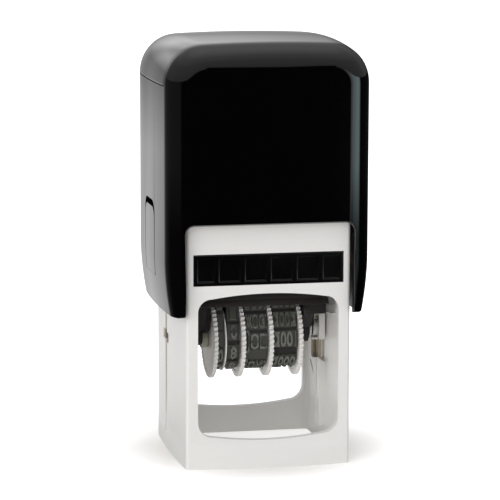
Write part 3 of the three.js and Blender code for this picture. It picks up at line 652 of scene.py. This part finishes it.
def make_base():
    outer = block(-BASE_HALF, BASE_HALF, -BASE_HALF, BASE_HALF, 0, BASE_TOP)
    body = rounded(outer, BASE_CORNER, 10, along("Z"))
    corner = BASE_HALF - BASE_CORNER
    for axis in "XY":
        sliced(body, axis, steps(-corner, corner, 18))
    sliced(body, "Z", FOOT_RINGS)
    swell_foot(body)
    cavity, well = (rounded(block(-CAVITY_X, CAVITY_X, -CAVITY_Y, CAVITY_Y, *ends), 1, 6, along("Z"))
                    for ends in ((-OVERRUN, DECK[0]), (DECK[1], BASE_TOP + OVERRUN)))
    bay = block(-CAVITY_X, CAVITY_X, -BASE_HALF - OVERRUN, -CAVITY_Y + 0.05, *CASSETTE_Z)
    body = cut(body, cavity, well, window_cutter(), bay, guide_slot(LEFT), guide_slot(RIGHT))
    for side in (LEFT, RIGHT):
        slot = beside(side, YOKE_X[0] - 0.3, CAVITY_X, -12.8, 12.8, DECK[0] - OVERRUN, DECK[1] + OVERRUN)
        body = joined(cut(body, slot, wall_pocket(side)), wall_rib(side))
    stop = block(-STOP_X, STOP_X, CAVITY_Y - 1.4, CAVITY_Y + 0.9, CASSETTE_Z[0] - 1.6, CASSETTE_Z[0])
    outside, inside, rim = SPRING_CUP
    cup = cut(rod(outside, (DECK[1] - 0.05, rim), "Z"), rod(inside, (DECK[1] - OVERRUN, rim + OVERRUN), "Z"))
    post, top = SPRING_POST
    body = joined(body, stop, cup, rod(post, (DECK[1] - 0.05, top), "Z"))
    softened(body, 0.22, 2)
    # Painted shade in the side walls' hollows, most behind the yoke's foot and in the slit.
    paint_shade(body, painted_wall_shade)
    piece("base_frame_moulding", body, "base", "white_plastic", ["base_frame"])


# Ink cassette: a ribbed face over an open tray, and the pad inside it

def make_cassette():
    left, top, bottom = -16.75, 47.85, CASSETTE_Z[0]
    front, back = -BASE_HALF, CASSETTE_BACK
    frame_width, rib, slope = 0.6, 0.75, 0.3
    edges = [left + frame_width - rib / 2, *CASSETTE_RIBS, -left - frame_width + rib / 2]
    face = block(left, -left, front, back, bottom, top)
    for start, end in zip(edges, edges[1:]):
        recess = block(start + rib / 2, end - rib / 2, front - OVERRUN, front + 0.55, bottom + frame_width,
                       top - frame_width)
        for vert in recess.verts:
            if vert.co.y > front:
                vert.co.x += slope if vert.co.x < (start + end) / 2 else -slope
                vert.co.z += slope if vert.co.z < (bottom + top) / 2 else -slope
        face = cut(face, recess)
    softened(face, 0.14, 3, 20)
    inner, rear = TRAY_X - TRAY_WALL, 16.4
    tray = cut(block(-TRAY_X, TRAY_X, back - 0.05, rear, bottom, top),
               block(-inner, inner, back + TRAY_WALL, rear - TRAY_WALL, bottom - OVERRUN, top - 1.2))
    softened(tray, 0.15, 2)
    piece("cassette_body", joined(face, tray), "cassette", "satin_black", ["ink_cassette"])


def make_pad():
    """A felt block, crowned a little on its inked side and rounded at its edges."""
    half, low = TRAY_X - 0.95, PAD_Z[0] + 0.1
    pad = block(-half, half, *PAD_Y, *PAD_Z)
    for axis, reach in (("X", half), ("Y", PAD_Y[1])):
        sliced(pad, axis, steps(-reach, reach, 14))
    rounded(pad, 0.5, 4, lambda a, b: max(a.z, b.z) < low and (
        min(abs(a.x), abs(b.x)) > half - 0.05 or min(abs(a.y), abs(b.y)) > PAD_Y[1] - 0.05))
    for vert in pad.verts:
        if vert.co.z < low:
            vert.co.z += 0.15 * max((vert.co.x / half) ** 2, (vert.co.y / PAD_Y[0]) ** 2)
    made = piece("felt_pad", pad, "cassette", "ink_felt", ["ink_pad"])


# Cap: every part of its skin is cut from one form, so the parts meet

def cap_form(inset=0.0):
    """The cap's outer form, or one drawn in: round shoulders, rounder ends, sides that bow and taper."""
    top = CAP_SHOULDER - inset
    bottom = CAP_BOTTOM - (OVERRUN if inset else 0)
    half, depth = CAP_X - inset, CAP_Y - inset
    bm = block(-half, half, -depth, depth, bottom, top)
    rounded(bm, CAP_TOP_RADIUS - inset, 16, along("Y", lambda a: a.z > top - NEAR))
    rounded(bm, CAP_END_RADIUS - inset, 10, lambda a, b: min(abs(a.y), abs(b.y)) > depth - NEAR
            and max(a.z, b.z) > bottom + 1 and a.y * b.y > 0)
    sliced(bm, "Y", steps(-15.5, 15.5, 16))
    sliced(bm, "X", steps(-15.4, 15.4, 12))
    sliced(bm, "Z", [*steps(bottom, CAP_TAPER_TOP, 7), *steps(CAP_TAPER_TOP, 86, 6)])
    for vert in bm.verts:
        x, y, z = vert.co
        drawn = CAP_BOW * min(1, abs(y) / 15.5) ** 2
        low = max(0, (CAP_TAPER_TOP - z) / (CAP_TAPER_TOP - CAP_BOTTOM))
        high = max(0, (z - CAP_TAPER_TOP) / (CAP_SHOULDER - CAP_TAPER_TOP))
        crown = CAP_CROWN * max(0, 1 - (x / 15.4) ** 2) * min(1, max(0, (z - 86.4) / 6))
        vert.co.x = x * (1 - (drawn + CAP_TAPER * min(low, 1.15) ** 2) / CAP_X)
        vert.co.z = z - drawn * high + crown
    return bm


def toe_form():
    """A block whose lower edges are the legs' rounded ends."""
    bm = block(-CAP_X - OVERRUN, CAP_X + OVERRUN, -CAP_Y, CAP_Y, CAP_BOTTOM, ABOVE_ALL)
    for radius, segments, end in CAP_TOES:
        rounded(bm, radius, segments, along("X", lambda a: a.z < 40 and end * a.y > 10))
    return bm


def mouth_cutter(end):
    """The opening in an end wall, with a slope round its outer edge."""
    inner = CAP_Y - 0.6
    through, slope = (
        rounded(block(-MOUTH_X, MOUTH_X, *sorted((end * near, end * far)), CAP_BOTTOM - OVERRUN, MOUTH_TOP),
                MOUTH_CORNER, 8, along("Y", lambda a: a.z > 50))
        for near, far in ((CAP_Y - CAP_END_RADIUS, CAP_Y + OVERRUN), (inner, CAP_Y + 0.05)))
    for vert in slope.verts:
        if abs(vert.co.y) > inner + 0.3:
            height = (vert.co.z - CAP_BOTTOM) / (MOUTH_TOP - CAP_BOTTOM)
            vert.co.x *= 1 + MOUTH_SLOPE * max(0.15, height) / MOUTH_X
            vert.co.z += MOUTH_SLOPE * max(0, height)
    return joined(through, slope)


def tongue_form(side, gap=0.0, top_gap=0.0):
    bm = beside(side, 16.1, CAP_X + OVERRUN, TONGUE_Y[0] - gap, TONGUE_Y[1] + gap,
                TONGUE_Z[0], TONGUE_Z[1] + top_gap)
    return rounded(bm, 2.5 + gap, 10, along("X", lambda a: a.z > 50))


def seam_block(half, bottom=COVER_SEAM):
    """A block over the whole width of the cap, from near its seam upwards."""
    return block(-CAP_X - OVERRUN, CAP_X + OVERRUN, -half, half, bottom, ABOVE_ALL)


def make_cap():
    skin = cut(cap_form(), cap_form(CAP_WALL))
    plug = within(cap_form(), seam_block(COVER_Y + 1.2, COVER_SEAM - CAP_WALL))
    body = joined(*(cut(solid, seam_block(COVER_Y)) for solid in (skin, plug)))
    body = within(cut(body, mouth_cutter(-1), mouth_cutter(1)), toe_form())
    for side in (LEFT, RIGHT):
        body = cut(body, tongue_form(side, 0.4, 1.5), rod(1.8, (81, 87), "Z", (side * STUD_X, 0), 32))
    rim = cut(block(-20.2, 20.2, -14.8, 14.8, COVER_SEAM - 0.05, COVER_SEAM + 2),
              block(-19.2, 19.2, -13.8, 13.8, COVER_SEAM - OVERRUN, COVER_SEAM + OVERRUN * 2))
    body = softened(joined(body, rim), 0.25, 3, 40)
    piece("cap_moulding", body, "cap", "gloss_black", ["cap_shell"], smooth=40)


def cap_skin(name, shape, body, node):
    """A piece of the cap's skin: what lies within a shape."""
    skin = within(cut(cap_form(), cap_form(COVER_WALL)), shape)
    piece(name, softened(skin, 0.2, 3, 40), body, "gloss_black", [node], smooth=40)


def make_cover():
    cap_skin("cover_moulding", seam_block(COVER_Y - 0.15, COVER_SEAM + 0.15), "cover", "top_cover")


def make_tongues():
    for side, name in ((LEFT, "left"), (RIGHT, "right")):
        cap_skin(f"{name}_tongue_moulding", tongue_form(side), f"{name}_tongue", f"{name}_release_tongue")


# Yoke: two panels with rounded hooks, hung from a plate

def yoke_foot(side):
    """A hook that holds the carriage's journal, with two legs astride the base's rib."""
    neck, back, top, gap, cradle = (beside(side, near, far, -half, half, *heights)
                                    for near, far, half, *heights in YOKE_FOOT)
    near, far, depths, *heights = YOKE_LEG
    legs = [beside(side, near, far, *sorted(end * depth for depth in depths), *heights) for end in (-1, 1)]
    foot = joined(neck, back, top, *legs)
    bore = rod(JOURNAL + 0.3, sorted((side * 13, side * (YOKE_X[1] - 0.15))), at=ON_PIVOT, sides=48)
    # gap is the filler, a block in the dark gap above the journal whose inner face gets painted shade.
    return joined(cut(foot, bore), cradle, gap)


def make_yoke():
    """A plate with two panels and their feet, whose fillers' inner faces get painted shade."""
    body = block(-YOKE_X[1], YOKE_X[1], -YOKE_DEPTH, YOKE_DEPTH, *YOKE_PLATE)
    for side in (LEFT, RIGHT):
        panel = beside(side, *YOKE_X, -YOKE_DEPTH, YOKE_DEPTH, YOKE_PANEL, 82)
        body = joined(body, panel, yoke_foot(side), rod(1.5, (82.9, 84.5), "Z", (side * STUD_X, 0), 32))
    softened(body, 0.12, 2)
    # Painted shade on the inner face of each filler.
    paint_shade(body, lambda x, y, z: 14.85 < abs(x) < 15.05 and abs(y) < 2.05 and 29.45 < z < 30.15)
    piece("yoke_moulding", body, "cap", "white_plastic", ["inner_yoke"])


# Main spring: one wire, spun up a screw

def make_spring():
    """Turns whose two ends lie flat, carried up from a circle that stands at the wire's start."""
    bm = bmesh.new()
    upright = Matrix.Translation((SPRING_RADIUS, 0, 0)) @ Matrix.Rotation(math.pi / 2, 4, "X")
    bmesh.ops.create_circle(bm, cap_ends=False, segments=12, radius=SPRING_WIRE, matrix=upright)
    rungs = SPRING_STEPS * SPRING_TURNS
    bmesh.ops.spin(bm, geom=bm.edges[:], cent=(0, 0, 0), axis=(0, 0, 1), dvec=(0, 0, 1),
                   angle=2 * math.pi * SPRING_TURNS, steps=rungs, use_duplicate=False)
    low, high = SPRING_Z
    for vert in bm.verts:
        rung = min(rungs, max(0, round(vert.co.z)))
        climb = (SPRING_TURNS * rung / rungs - 0.5) / (SPRING_TURNS - 1)
        vert.co.z += low + (high - low) * min(1, max(0, climb)) - rung
    bmesh.ops.holes_fill(bm, edges=[edge for edge in bm.edges if edge.is_boundary], sides=0)
    bmesh.ops.recalc_face_normals(bm, faces=bm.faces)
    made = piece("main_spring_wire", bm, "base", "steel", ["main_spring"])
    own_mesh(made)


# Carriage: a plate and two arms, with its edges leaning in so that it can turn

def leaning_plate(half, bottom, top):
    """A plate whose front and rear edges lie within the carriage's turning circle."""
    bm = block(-half, half, -1, 1, bottom, top)
    for vert in bm.verts:
        vert.co.y *= math.sqrt(TURN_RADIUS ** 2 - (vert.co.z - PIVOT_Z) ** 2)
    return bm


def date_slot(side, end):
    """The opening for the bands, wider than they are by two gaps."""
    return block(BANDS_X[0] - end, BANDS_X[1] + end, -BAND_NOSE_Y - side, BAND_NOSE_Y + side,
                 PLATE_Z[0] - OVERRUN, DIE_TOP + OVERRUN)


def carriage_arm(inner, outer):
    """An arm that narrows from the plate to a rounded toe below the pivot."""
    wide, waist, toe = ARM_HALVES
    upper = block(inner, outer, -wide, wide, PIVOT_Z + 1, PLATE_Z[0] + 0.05)
    for vert in upper.verts:
        if vert.co.z < PIVOT_Z + 2:
            vert.co.y *= waist / wide
    lower = block(inner, outer, -toe, toe, PIVOT_Z - 3.1, PIVOT_Z + 1.1)
    return joined(upper, rounded(lower, toe - 0.1, 12, along("X", lambda a: a.z < PIVOT_Z - 2)))


def make_carriage():
    plate = leaning_plate(LIP_X, *PLATE_Z)
    for side in (LEFT, RIGHT):
        plate = cut(plate, beside(side, PLATE_X, LIP_X + OVERRUN, LIP_REAR, TURN_RADIUS + OVERRUN,
                                  PLATE_Z[0] - OVERRUN, PLATE_Z[1] + OVERRUN))
    body = joined(cut(plate, date_slot(0.6, 0.7)), *(carriage_arm(*ends) for ends in ARMS_X))
    step = rounded(block(*ARM_STEP), 1.2, 6, along("Y", lambda a: a.z < PIVOT_Z + 1 and a.x > -11))
    gusset = joined(*(block(*faces) for faces in GUSSETS))
    radius, cores = JOURNAL_CORES
    body = joined(body, step, gusset, block(*ARM_SHOULDER), *(rod(radius, ends, at=ON_PIVOT) for ends in cores))
    body = cut(body, rod(AXLE_BORE, (-13.3, 12), at=ON_AXLE))
    softened(body, 0.2, 2)
    piece("carriage_moulding", body, "carriage", "carriage_brown", ["carriage_frame"])
    guide = rounded(block(*BAND_GUIDE), 0.4, 4, along("X", lambda a: a.z > PIVOT_Z + 9))
    softened(guide, 0.1, 2)
    piece("guide_moulding", guide, "carriage", "carriage_brown", ["band_guide"])


def make_bushings():
    """White bushings on the journals, with a loose ring on the right one."""
    rods = [softened(rod(radius, ends, at=ON_PIVOT), edge, 3) for radius, ends, edge in BUSHINGS]
    piece("journal_bushings", gathered(*rods), "carriage", "white_plastic")


def make_die():
    """A rubber plate with a raised border round its edge and another round the date."""
    body = cut(leaning_plate(DIE_X, PLATE_Z[1], DIE_TOP), date_slot(0.45, 0.1))
    across, deep = DIE_FIELD
    field = cut(block(-across, across, -deep, deep, DIE_TOP - DIE_RELIEF, DIE_TOP + OVERRUN),
                block(*DIE_BORDER, DIE_TOP - OVERRUN, DIE_TOP + OVERRUN * 2))
    body = softened(cut(body, field), 0.08, 2)
    piece("die_plate", body, "carriage", "die_rubber", ["rubber_die"])


# Date wheels and bands

def annulus(outer, inner, ends, sides):
    """A flat ring round the axle, extruded along X from one end to the other."""
    bm = bmesh.new()
    for radius in (outer, inner):
        bmesh.ops.create_circle(bm, segments=sides, radius=radius)
    bmesh.ops.bridge_loops(bm, edges=bm.edges[:])
    made = bmesh.ops.extrude_face_region(bm, geom=bm.faces[:])
    moved = [item for item in made["geom"] if isinstance(item, bmesh.types.BMVert)]
    bmesh.ops.translate(bm, vec=(0, 0, ends[1] - ends[0]), verts=moved)
    bmesh.ops.rotate(bm, cent=(0, 0, 0), matrix=Matrix.Rotation(math.pi / 2, 3, "Y"), verts=bm.verts)
    bmesh.ops.translate(bm, vec=(ends[0], *ON_AXLE), verts=bm.verts)
    bmesh.ops.recalc_face_normals(bm, faces=bm.faces)
    return bm


def toothed_rim(left):
    """A thin rim whose edge is a row of small beads."""
    per_tooth = len(TOOTH_DEPTHS)
    sides = WHEEL_TEETH * per_tooth
    bm = annulus(WHEEL_RADIUS, 5, (left, left + WHEEL_RIM), sides)
    for vert in bm.verts:
        out = Vector((0, vert.co.y, vert.co.z - AXLE_Z))
        if out.length > WHEEL_RADIUS - 0.1:
            step = round(math.atan2(out.z, out.y) / (2 * math.pi) * sides) % per_tooth
            vert.co -= out.normalized() * TOOTH_DEPTHS[step]
    return bm


def make_wheel(name):
    left, hub_left, hub_right = WHEELS[name]
    inner, outer = (hub_left - 0.05, hub_right) if left < hub_left else (hub_left, hub_right + 0.05)
    far, near, deep = WHEEL_DISH
    dish = cut(rod(far, (left - 1, left + deep), at=ON_AXLE, sides=96),
               rod(near, (left - OVERRUN, left + OVERRUN), at=ON_AXLE, sides=96))
    body = joined(cut(toothed_rim(left), dish), rod(WHEEL_WEB, (left, left + WHEEL_RIM), at=ON_AXLE),
                  rod(WHEEL_HUB, (inner, outer), at=ON_AXLE, sides=96))
    bore = (min(left, hub_left) - OVERRUN, max(left + 1, hub_right) + OVERRUN)
    body = softened(cut(body, rod(AXLE_BORE, bore, at=ON_AXLE)), 0.09, 2, 30)
    piece(f"{name}_wheel_moulding", body, f"{name}_wheel_body", "wheel_white", [f"{name}_wheel"])


def band_loop(grow, ends):
    """The loop that a band follows, some distance outside its inner face, as the hull of three rods."""
    lift = grow - BAND_THICKNESS
    hub = rod(BAND_HUB + lift, ends, at=ON_AXLE, sides=128)
    noses = [rod(BAND_NOSE + lift / 2, ends, at=(side * (NOSE_HALF + lift / 2), NOSE_Z + lift / 2), sides=64)
             for side in (-1, 1)]
    return hull(hub, *noses)


def band_place(distance):
    """A point on a band's outer face and the way out of it, by its distance from the middle of the die.

    Distances above zero go down the front."""
    left = abs(distance)
    side = -1 if distance >= 0 else 1
    if left < NOSE_HALF:
        y, z, turn = left, BAND_TOP, math.pi / 2
    elif left < NOSE_HALF + CORNER:
        turn = math.pi / 2 - (left - NOSE_HALF) / BAND_NOSE
        y, z = NOSE_HALF + BAND_NOSE * math.cos(turn), NOSE_Z + BAND_NOSE * math.sin(turn)
    elif left < NOSE_HALF + CORNER + FLANK:
        turn, down = LEAN, left - NOSE_HALF - CORNER
        y = NOSE_HALF + BAND_NOSE * math.cos(turn) + down * math.sin(turn)
        z = NOSE_Z + BAND_NOSE * math.sin(turn) - down * math.cos(turn)
    else:
        turn = LEAN - (left - NOSE_HALF - CORNER - FLANK) / BAND_HUB
        y, z = BAND_HUB * math.cos(turn), AXLE_Z + BAND_HUB * math.sin(turn)
    return Vector((0, side * y, z)), Vector((0, side * math.cos(turn), math.sin(turn)))


def word_mesh(word, width, height, thickness):
    """Raised type, as wide and as high as asked, standing on the plane of its back."""
    curve = bpy.data.curves.new("type", "FONT")
    curve.body = word
    curve.extrude = 0.5
    curve.offset = 0.012
    curve.resolution_u = 3
    curve.align_x = "CENTER"
    text = linked("type", curve)
    mesh = bpy.data.meshes.new_from_object(text.evaluated_get(bpy.context.evaluated_depsgraph_get()))
    bm = bmesh.new()
    bm.from_mesh(mesh)
    bpy.data.meshes.remove(mesh)
    bpy.data.objects.remove(text)
    bpy.data.curves.remove(curve)
    bmesh.ops.remove_doubles(bm, verts=bm.verts, dist=1e-5)
    low, high = ([pick(vert.co[i] for vert in bm.verts) for i in range(3)] for pick in (min, max))
    cap_height = 0.73
    bmesh.ops.translate(bm, vec=(-(low[0] + high[0]) / 2, -cap_height / 2, -low[2]), verts=bm.verts)
    stretch = (width / (high[0] - low[0]), height / cap_height, thickness / (high[2] - low[2]))
    bmesh.ops.scale(bm, vec=stretch, verts=bm.verts)
    return sliced(bm, "Y", steps(-height * 0.6, height * 0.6, 7))


def mark_painted_light(bm, low, high):
    """Marks how far a solid that stands on a band is raised, at its foot and at its top, which the band's
    finish turns into painted light: the higher, the lighter.
    """
    mark = bm.verts.layers.float.new("raised")
    for vert in bm.verts:
        vert[mark] = high if vert.co.z > 0.05 else low
    return bm


def bent_on(bm, place, middle):
    """Bends a flat solid onto a band, at a distance from the middle of the die and a place across."""
    for vert in bm.verts:
        across, up, out = vert.co
        distance = place + up
        if distance > BAND_LENGTH / 2:
            distance -= BAND_LENGTH
        spot, way_out = band_place(distance)
        vert.co = spot + way_out * (out - 0.05) + Vector((middle + across, 0, 0))
    bmesh.ops.recalc_face_normals(bm, faces=bm.faces)
    return bm


def make_band(name):
    """A loop with a pad for each character, and raised type on it."""
    _, hub_left, hub_right = WHEELS[name]
    ends = (hub_left + 0.1, hub_right - 0.1)
    body = cut(band_loop(BAND_THICKNESS, ends), band_loop(0, (ends[0] - OVERRUN, ends[1] + OVERRUN)))
    softened(body, 0.1, 2)
    body.verts.layers.float.new("raised")
    middle, width = sum(ends) / 2, ends[1] - ends[0]
    half = width / 2 - 0.05
    rows = BAND_ROWS[name]
    for n, (place, word) in enumerate(rows):
        after = rows[n + 1][0] if n + 1 < len(rows) else BAND_LENGTH
        before = rows[n - 1][0] if n else rows[-1][0] - BAND_LENGTH
        low = max((before - place) / 2 + 0.2, -PAD_REACH)
        high = min((after - place) / 2 - 0.2, PAD_REACH)
        pad = sliced(block(-half, half, low, high, 0, BAND_RELIEF + 0.05), "Y", steps(low, high, 6))
        # Pads and type get painted light: lighter the higher they stand.
        gathered(body, bent_on(mark_painted_light(pad, 0.2, 0.5), place, middle))
        if word:
            type_width = min(width - 0.4, 1.45 * len(word))
            letters = word_mesh(word, type_width, TYPE_HEIGHT, TYPE_RELIEF + 0.05)
            everything = letters.verts[:] + letters.edges[:] + letters.faces[:]
            bmesh.ops.mirror(letters, geom=everything, axis="Y", merge_dist=-1)
            gathered(body, bent_on(mark_painted_light(letters, 0.5, 1), place, middle))
    piece(f"{name}_band_type", body, "carriage", "band_rubber", [f"{name}_band"], smooth=30)


def make_axle():
    """The axle, and the rings that stand on it."""
    radius, ends = AXLE
    axle = softened(rod(radius, ends, at=ON_AXLE), 0.2, 3)
    piece("axle_rod", axle, "carriage", "steel", ["wheel_axle"])
    for name, radius, ends, sides, edge, slot, node in (
            ("left_spacer", 2.1, (-11.9, -10.35), 64, (0.2, 3), "spacer_beige", "left_axle_spacer"),
            ("right_spacer", 2.4, (10.25, 10.6), 64, (0.08, 2), "spacer_beige", "right_axle_spacer"),
            ("thin_disc", 7.4, (-7.47, -7.13), 128, (0.1, 2), "wheel_white", "separator_disc")):
        piece(name, softened(annulus(radius, AXLE_BORE, ends, sides), *edge), "carriage", slot, [node])


make_base()
make_cassette()
make_pad()
make_cap()
make_cover()
make_tongues()
make_yoke()
make_spring()
make_carriage()
make_bushings()
make_die()
for band in WHEELS:
    make_wheel(band)
    make_band(band)
make_axle()
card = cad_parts["index_card"]
card.data.materials.clear()
card.data.materials.append(FINISHES["card"])


# Floor, light and camera

def ramped(tree, value, low, high, stops):
    """A colour read off a curve that is given as places and strengths, and tints where it isn't plain."""
    node = node_on(tree, "ShaderNodeValToRGB", mapped(tree, value, 0, 1, (low, high)))
    node.color_ramp.interpolation = "EASE"
    elements = node.color_ramp.elements
    for n, (place, strength, *tint) in enumerate(stops):
        stop = elements[n] if n < 2 else elements.new(1)
        stop.position = (place - low) / (high - low)
        stop.color = tuple(strength * share / ROOM_PEAK for share in tint or (1, 1, 1)) + (1,)
    return node.outputs["Color"]


def scaled(tree, colour, strength):
    """A colour made stronger or weaker by a socket or a number."""
    node = node_on(tree, "ShaderNodeVectorMath", colour, operation="SCALE")
    feed(tree, node.inputs["Scale"], strength)
    return node.outputs[0]


def make_room():
    """What polished surfaces mirror, by the way from the object: walls, and a ceiling above them."""
    group = bpy.data.node_groups.new("room", "ShaderNodeTree")
    group.interface.new_socket("Way", in_out="INPUT", socket_type="NodeSocketVector")
    group.interface.new_socket("Color", in_out="OUTPUT", socket_type="NodeSocketColor")
    given, made = group.nodes.new("NodeGroupInput"), group.nodes.new("NodeGroupOutput")
    unit = node_on(group, "ShaderNodeVectorMath", given.outputs["Way"], operation="NORMALIZE")
    x, y, z = node_on(group, "ShaderNodeSeparateXYZ", unit.outputs[0]).outputs
    length = node_on(group, "ShaderNodeVectorMath", given.outputs["Way"], operation="LENGTH")
    distance = length.outputs["Value"]
    bearing, climb = (value_node(group, "MULTIPLY", angle, 180 / math.pi) for angle in (
        value_node(group, "ARCTAN2", x, value_node(group, "MULTIPLY", y, -1)), value_node(group, "ARCSINE", z)))
    rear = mapped(group, value_node(group, "ABSOLUTE", bearing), *ROOM_REAR)
    before = mapped(group, distance, *ROOM_BEFORE)
    behind = value_node(group, "MULTIPLY", mapped(group, distance, *ROOM_BEHIND),
                        mapped(group, climb, *ROOM_LIFT))
    walls = scaled(group, ramped(group, bearing, -180, 180, ROOM_WALLS),
                   mixed(group, rear, before, behind, "FLOAT"))
    ceiling = ramped(group, climb, 0, 90, ROOM_CEILING)
    above = mixed(group, rear, mapped(group, climb, *CEILING_BEFORE), mapped(group, climb, *CEILING_BEHIND),
                  "FLOAT")
    group.links.new(scaled(group, mixed(group, above, walls, ceiling), ROOM_PEAK), made.inputs["Color"])
    return group


def make_floor(room):
    """A pale floor that keeps the soft shadow, and that polished surfaces see as part of the room."""
    bm = bmesh.new()
    bmesh.ops.create_grid(bm, x_segments=1, y_segments=1, size=4)
    floor = linked("floor", mesh_of("floor", bm))
    material = bpy.data.materials.new("floor")
    material.use_nodes = True
    tree = material.node_tree
    shader = tree.nodes["Principled BSDF"]
    set_inputs(shader, Base_Color=FLOOR_COLOUR, Roughness=0.9, Specular_IOR_Level=0.1, Emission_Color=WHITE)
    light = node_on(tree, "ShaderNodeLightPath")
    place = node_on(tree, "ShaderNodeTexCoord").outputs["Object"]
    x, y, _ = node_on(tree, "ShaderNodeSeparateXYZ", place).outputs
    reach = value_node(tree, "MAXIMUM", *(value_node(tree, "ABSOLUTE", side) for side in (x, y)))
    distance = node_on(tree, "ShaderNodeVectorMath", place, operation="LENGTH").outputs["Value"]
    # The glow paints light on the floor within the base's outline, and is weak close round the base, where it
    # paints the floor darker on top of the real shadow.
    glow = value_node(tree, "MAXIMUM", mapped(tree, reach, *FLOOR_INSIDE_PAINTED_LIGHT),
                      mapped(tree, distance, *FLOOR_OUTSIDE))
    strength = mixed(tree, light.outputs["Is Camera Ray"], FLOOR_BOUNCE, glow, "FLOAT")
    tree.links.new(strength, shader.inputs["Emission Strength"])
    around = placed(tree, room)
    tree.links.new(place, around.inputs["Way"])
    mirrored = node_on(tree, "ShaderNodeEmission", around.outputs["Color"])
    choice = node_on(tree, "ShaderNodeMixShader", light.outputs["Is Glossy Ray"], shader.outputs[0],
                     mirrored.outputs[0])
    tree.links.new(choice.outputs[0], tree.nodes["Material Output"].inputs["Surface"])
    floor.data.materials.append(material)


def make_world(room):
    """White to the camera, the room to polished surfaces, and even light for the rest."""
    world = bpy.data.worlds.new("room")
    bpy.context.scene.world = world
    world.use_nodes = True
    tree = world.node_tree
    ground = tree.nodes["Background"]
    light = node_on(tree, "ShaderNodeLightPath")
    around = placed(tree, room)
    tree.links.new(node_on(tree, "ShaderNodeTexCoord").outputs["Generated"], around.inputs["Way"])
    mirrored = mixed(tree, light.outputs["Is Glossy Ray"], AMBIENT, around.outputs["Color"])
    tree.links.new(mixed(tree, light.outputs["Is Camera Ray"], mirrored, WHITE), ground.inputs["Color"])


def softbox(name, size, place, power):
    """A square lamp that faces the object, and that polished surfaces don't see."""
    light = bpy.data.lights.new(name, "AREA")
    light.shape = "RECTANGLE"
    light.size = light.size_y = size
    light.energy = power
    lamp = linked(name, light)
    lamp.location = place
    lamp.rotation_euler = (LAMP_AIM - Vector(place)).to_track_quat("-Z", "Y").to_euler()
    lamp.visible_glossy = False


def make_camera():
    data = bpy.data.cameras.new("camera")
    data.lens = CAMERA_LENS
    data.sensor_width = CAMERA_SENSOR
    data.clip_start = 0.01
    camera = linked("camera", data)
    back = Vector((math.sin(CAMERA_AZIMUTH) * math.cos(CAMERA_ELEVATION),
                   -math.cos(CAMERA_AZIMUTH) * math.cos(CAMERA_ELEVATION), math.sin(CAMERA_ELEVATION)))
    camera.location = CAMERA_TARGET + back * CAMERA_DISTANCE
    facing = (-back).to_track_quat("-Z", "Y").to_matrix()
    camera.rotation_euler = (facing @ Matrix.Rotation(-CAMERA_ROLL, 3, "Z")).to_euler()
    bpy.context.scene.camera = camera


mirrored_room = make_room()
make_floor(mirrored_room)
make_world(mirrored_room)
for lamp in LAMPS:
    softbox(*lamp)
make_camera()
bpy.context.scene.view_settings.view_transform = "Standard"
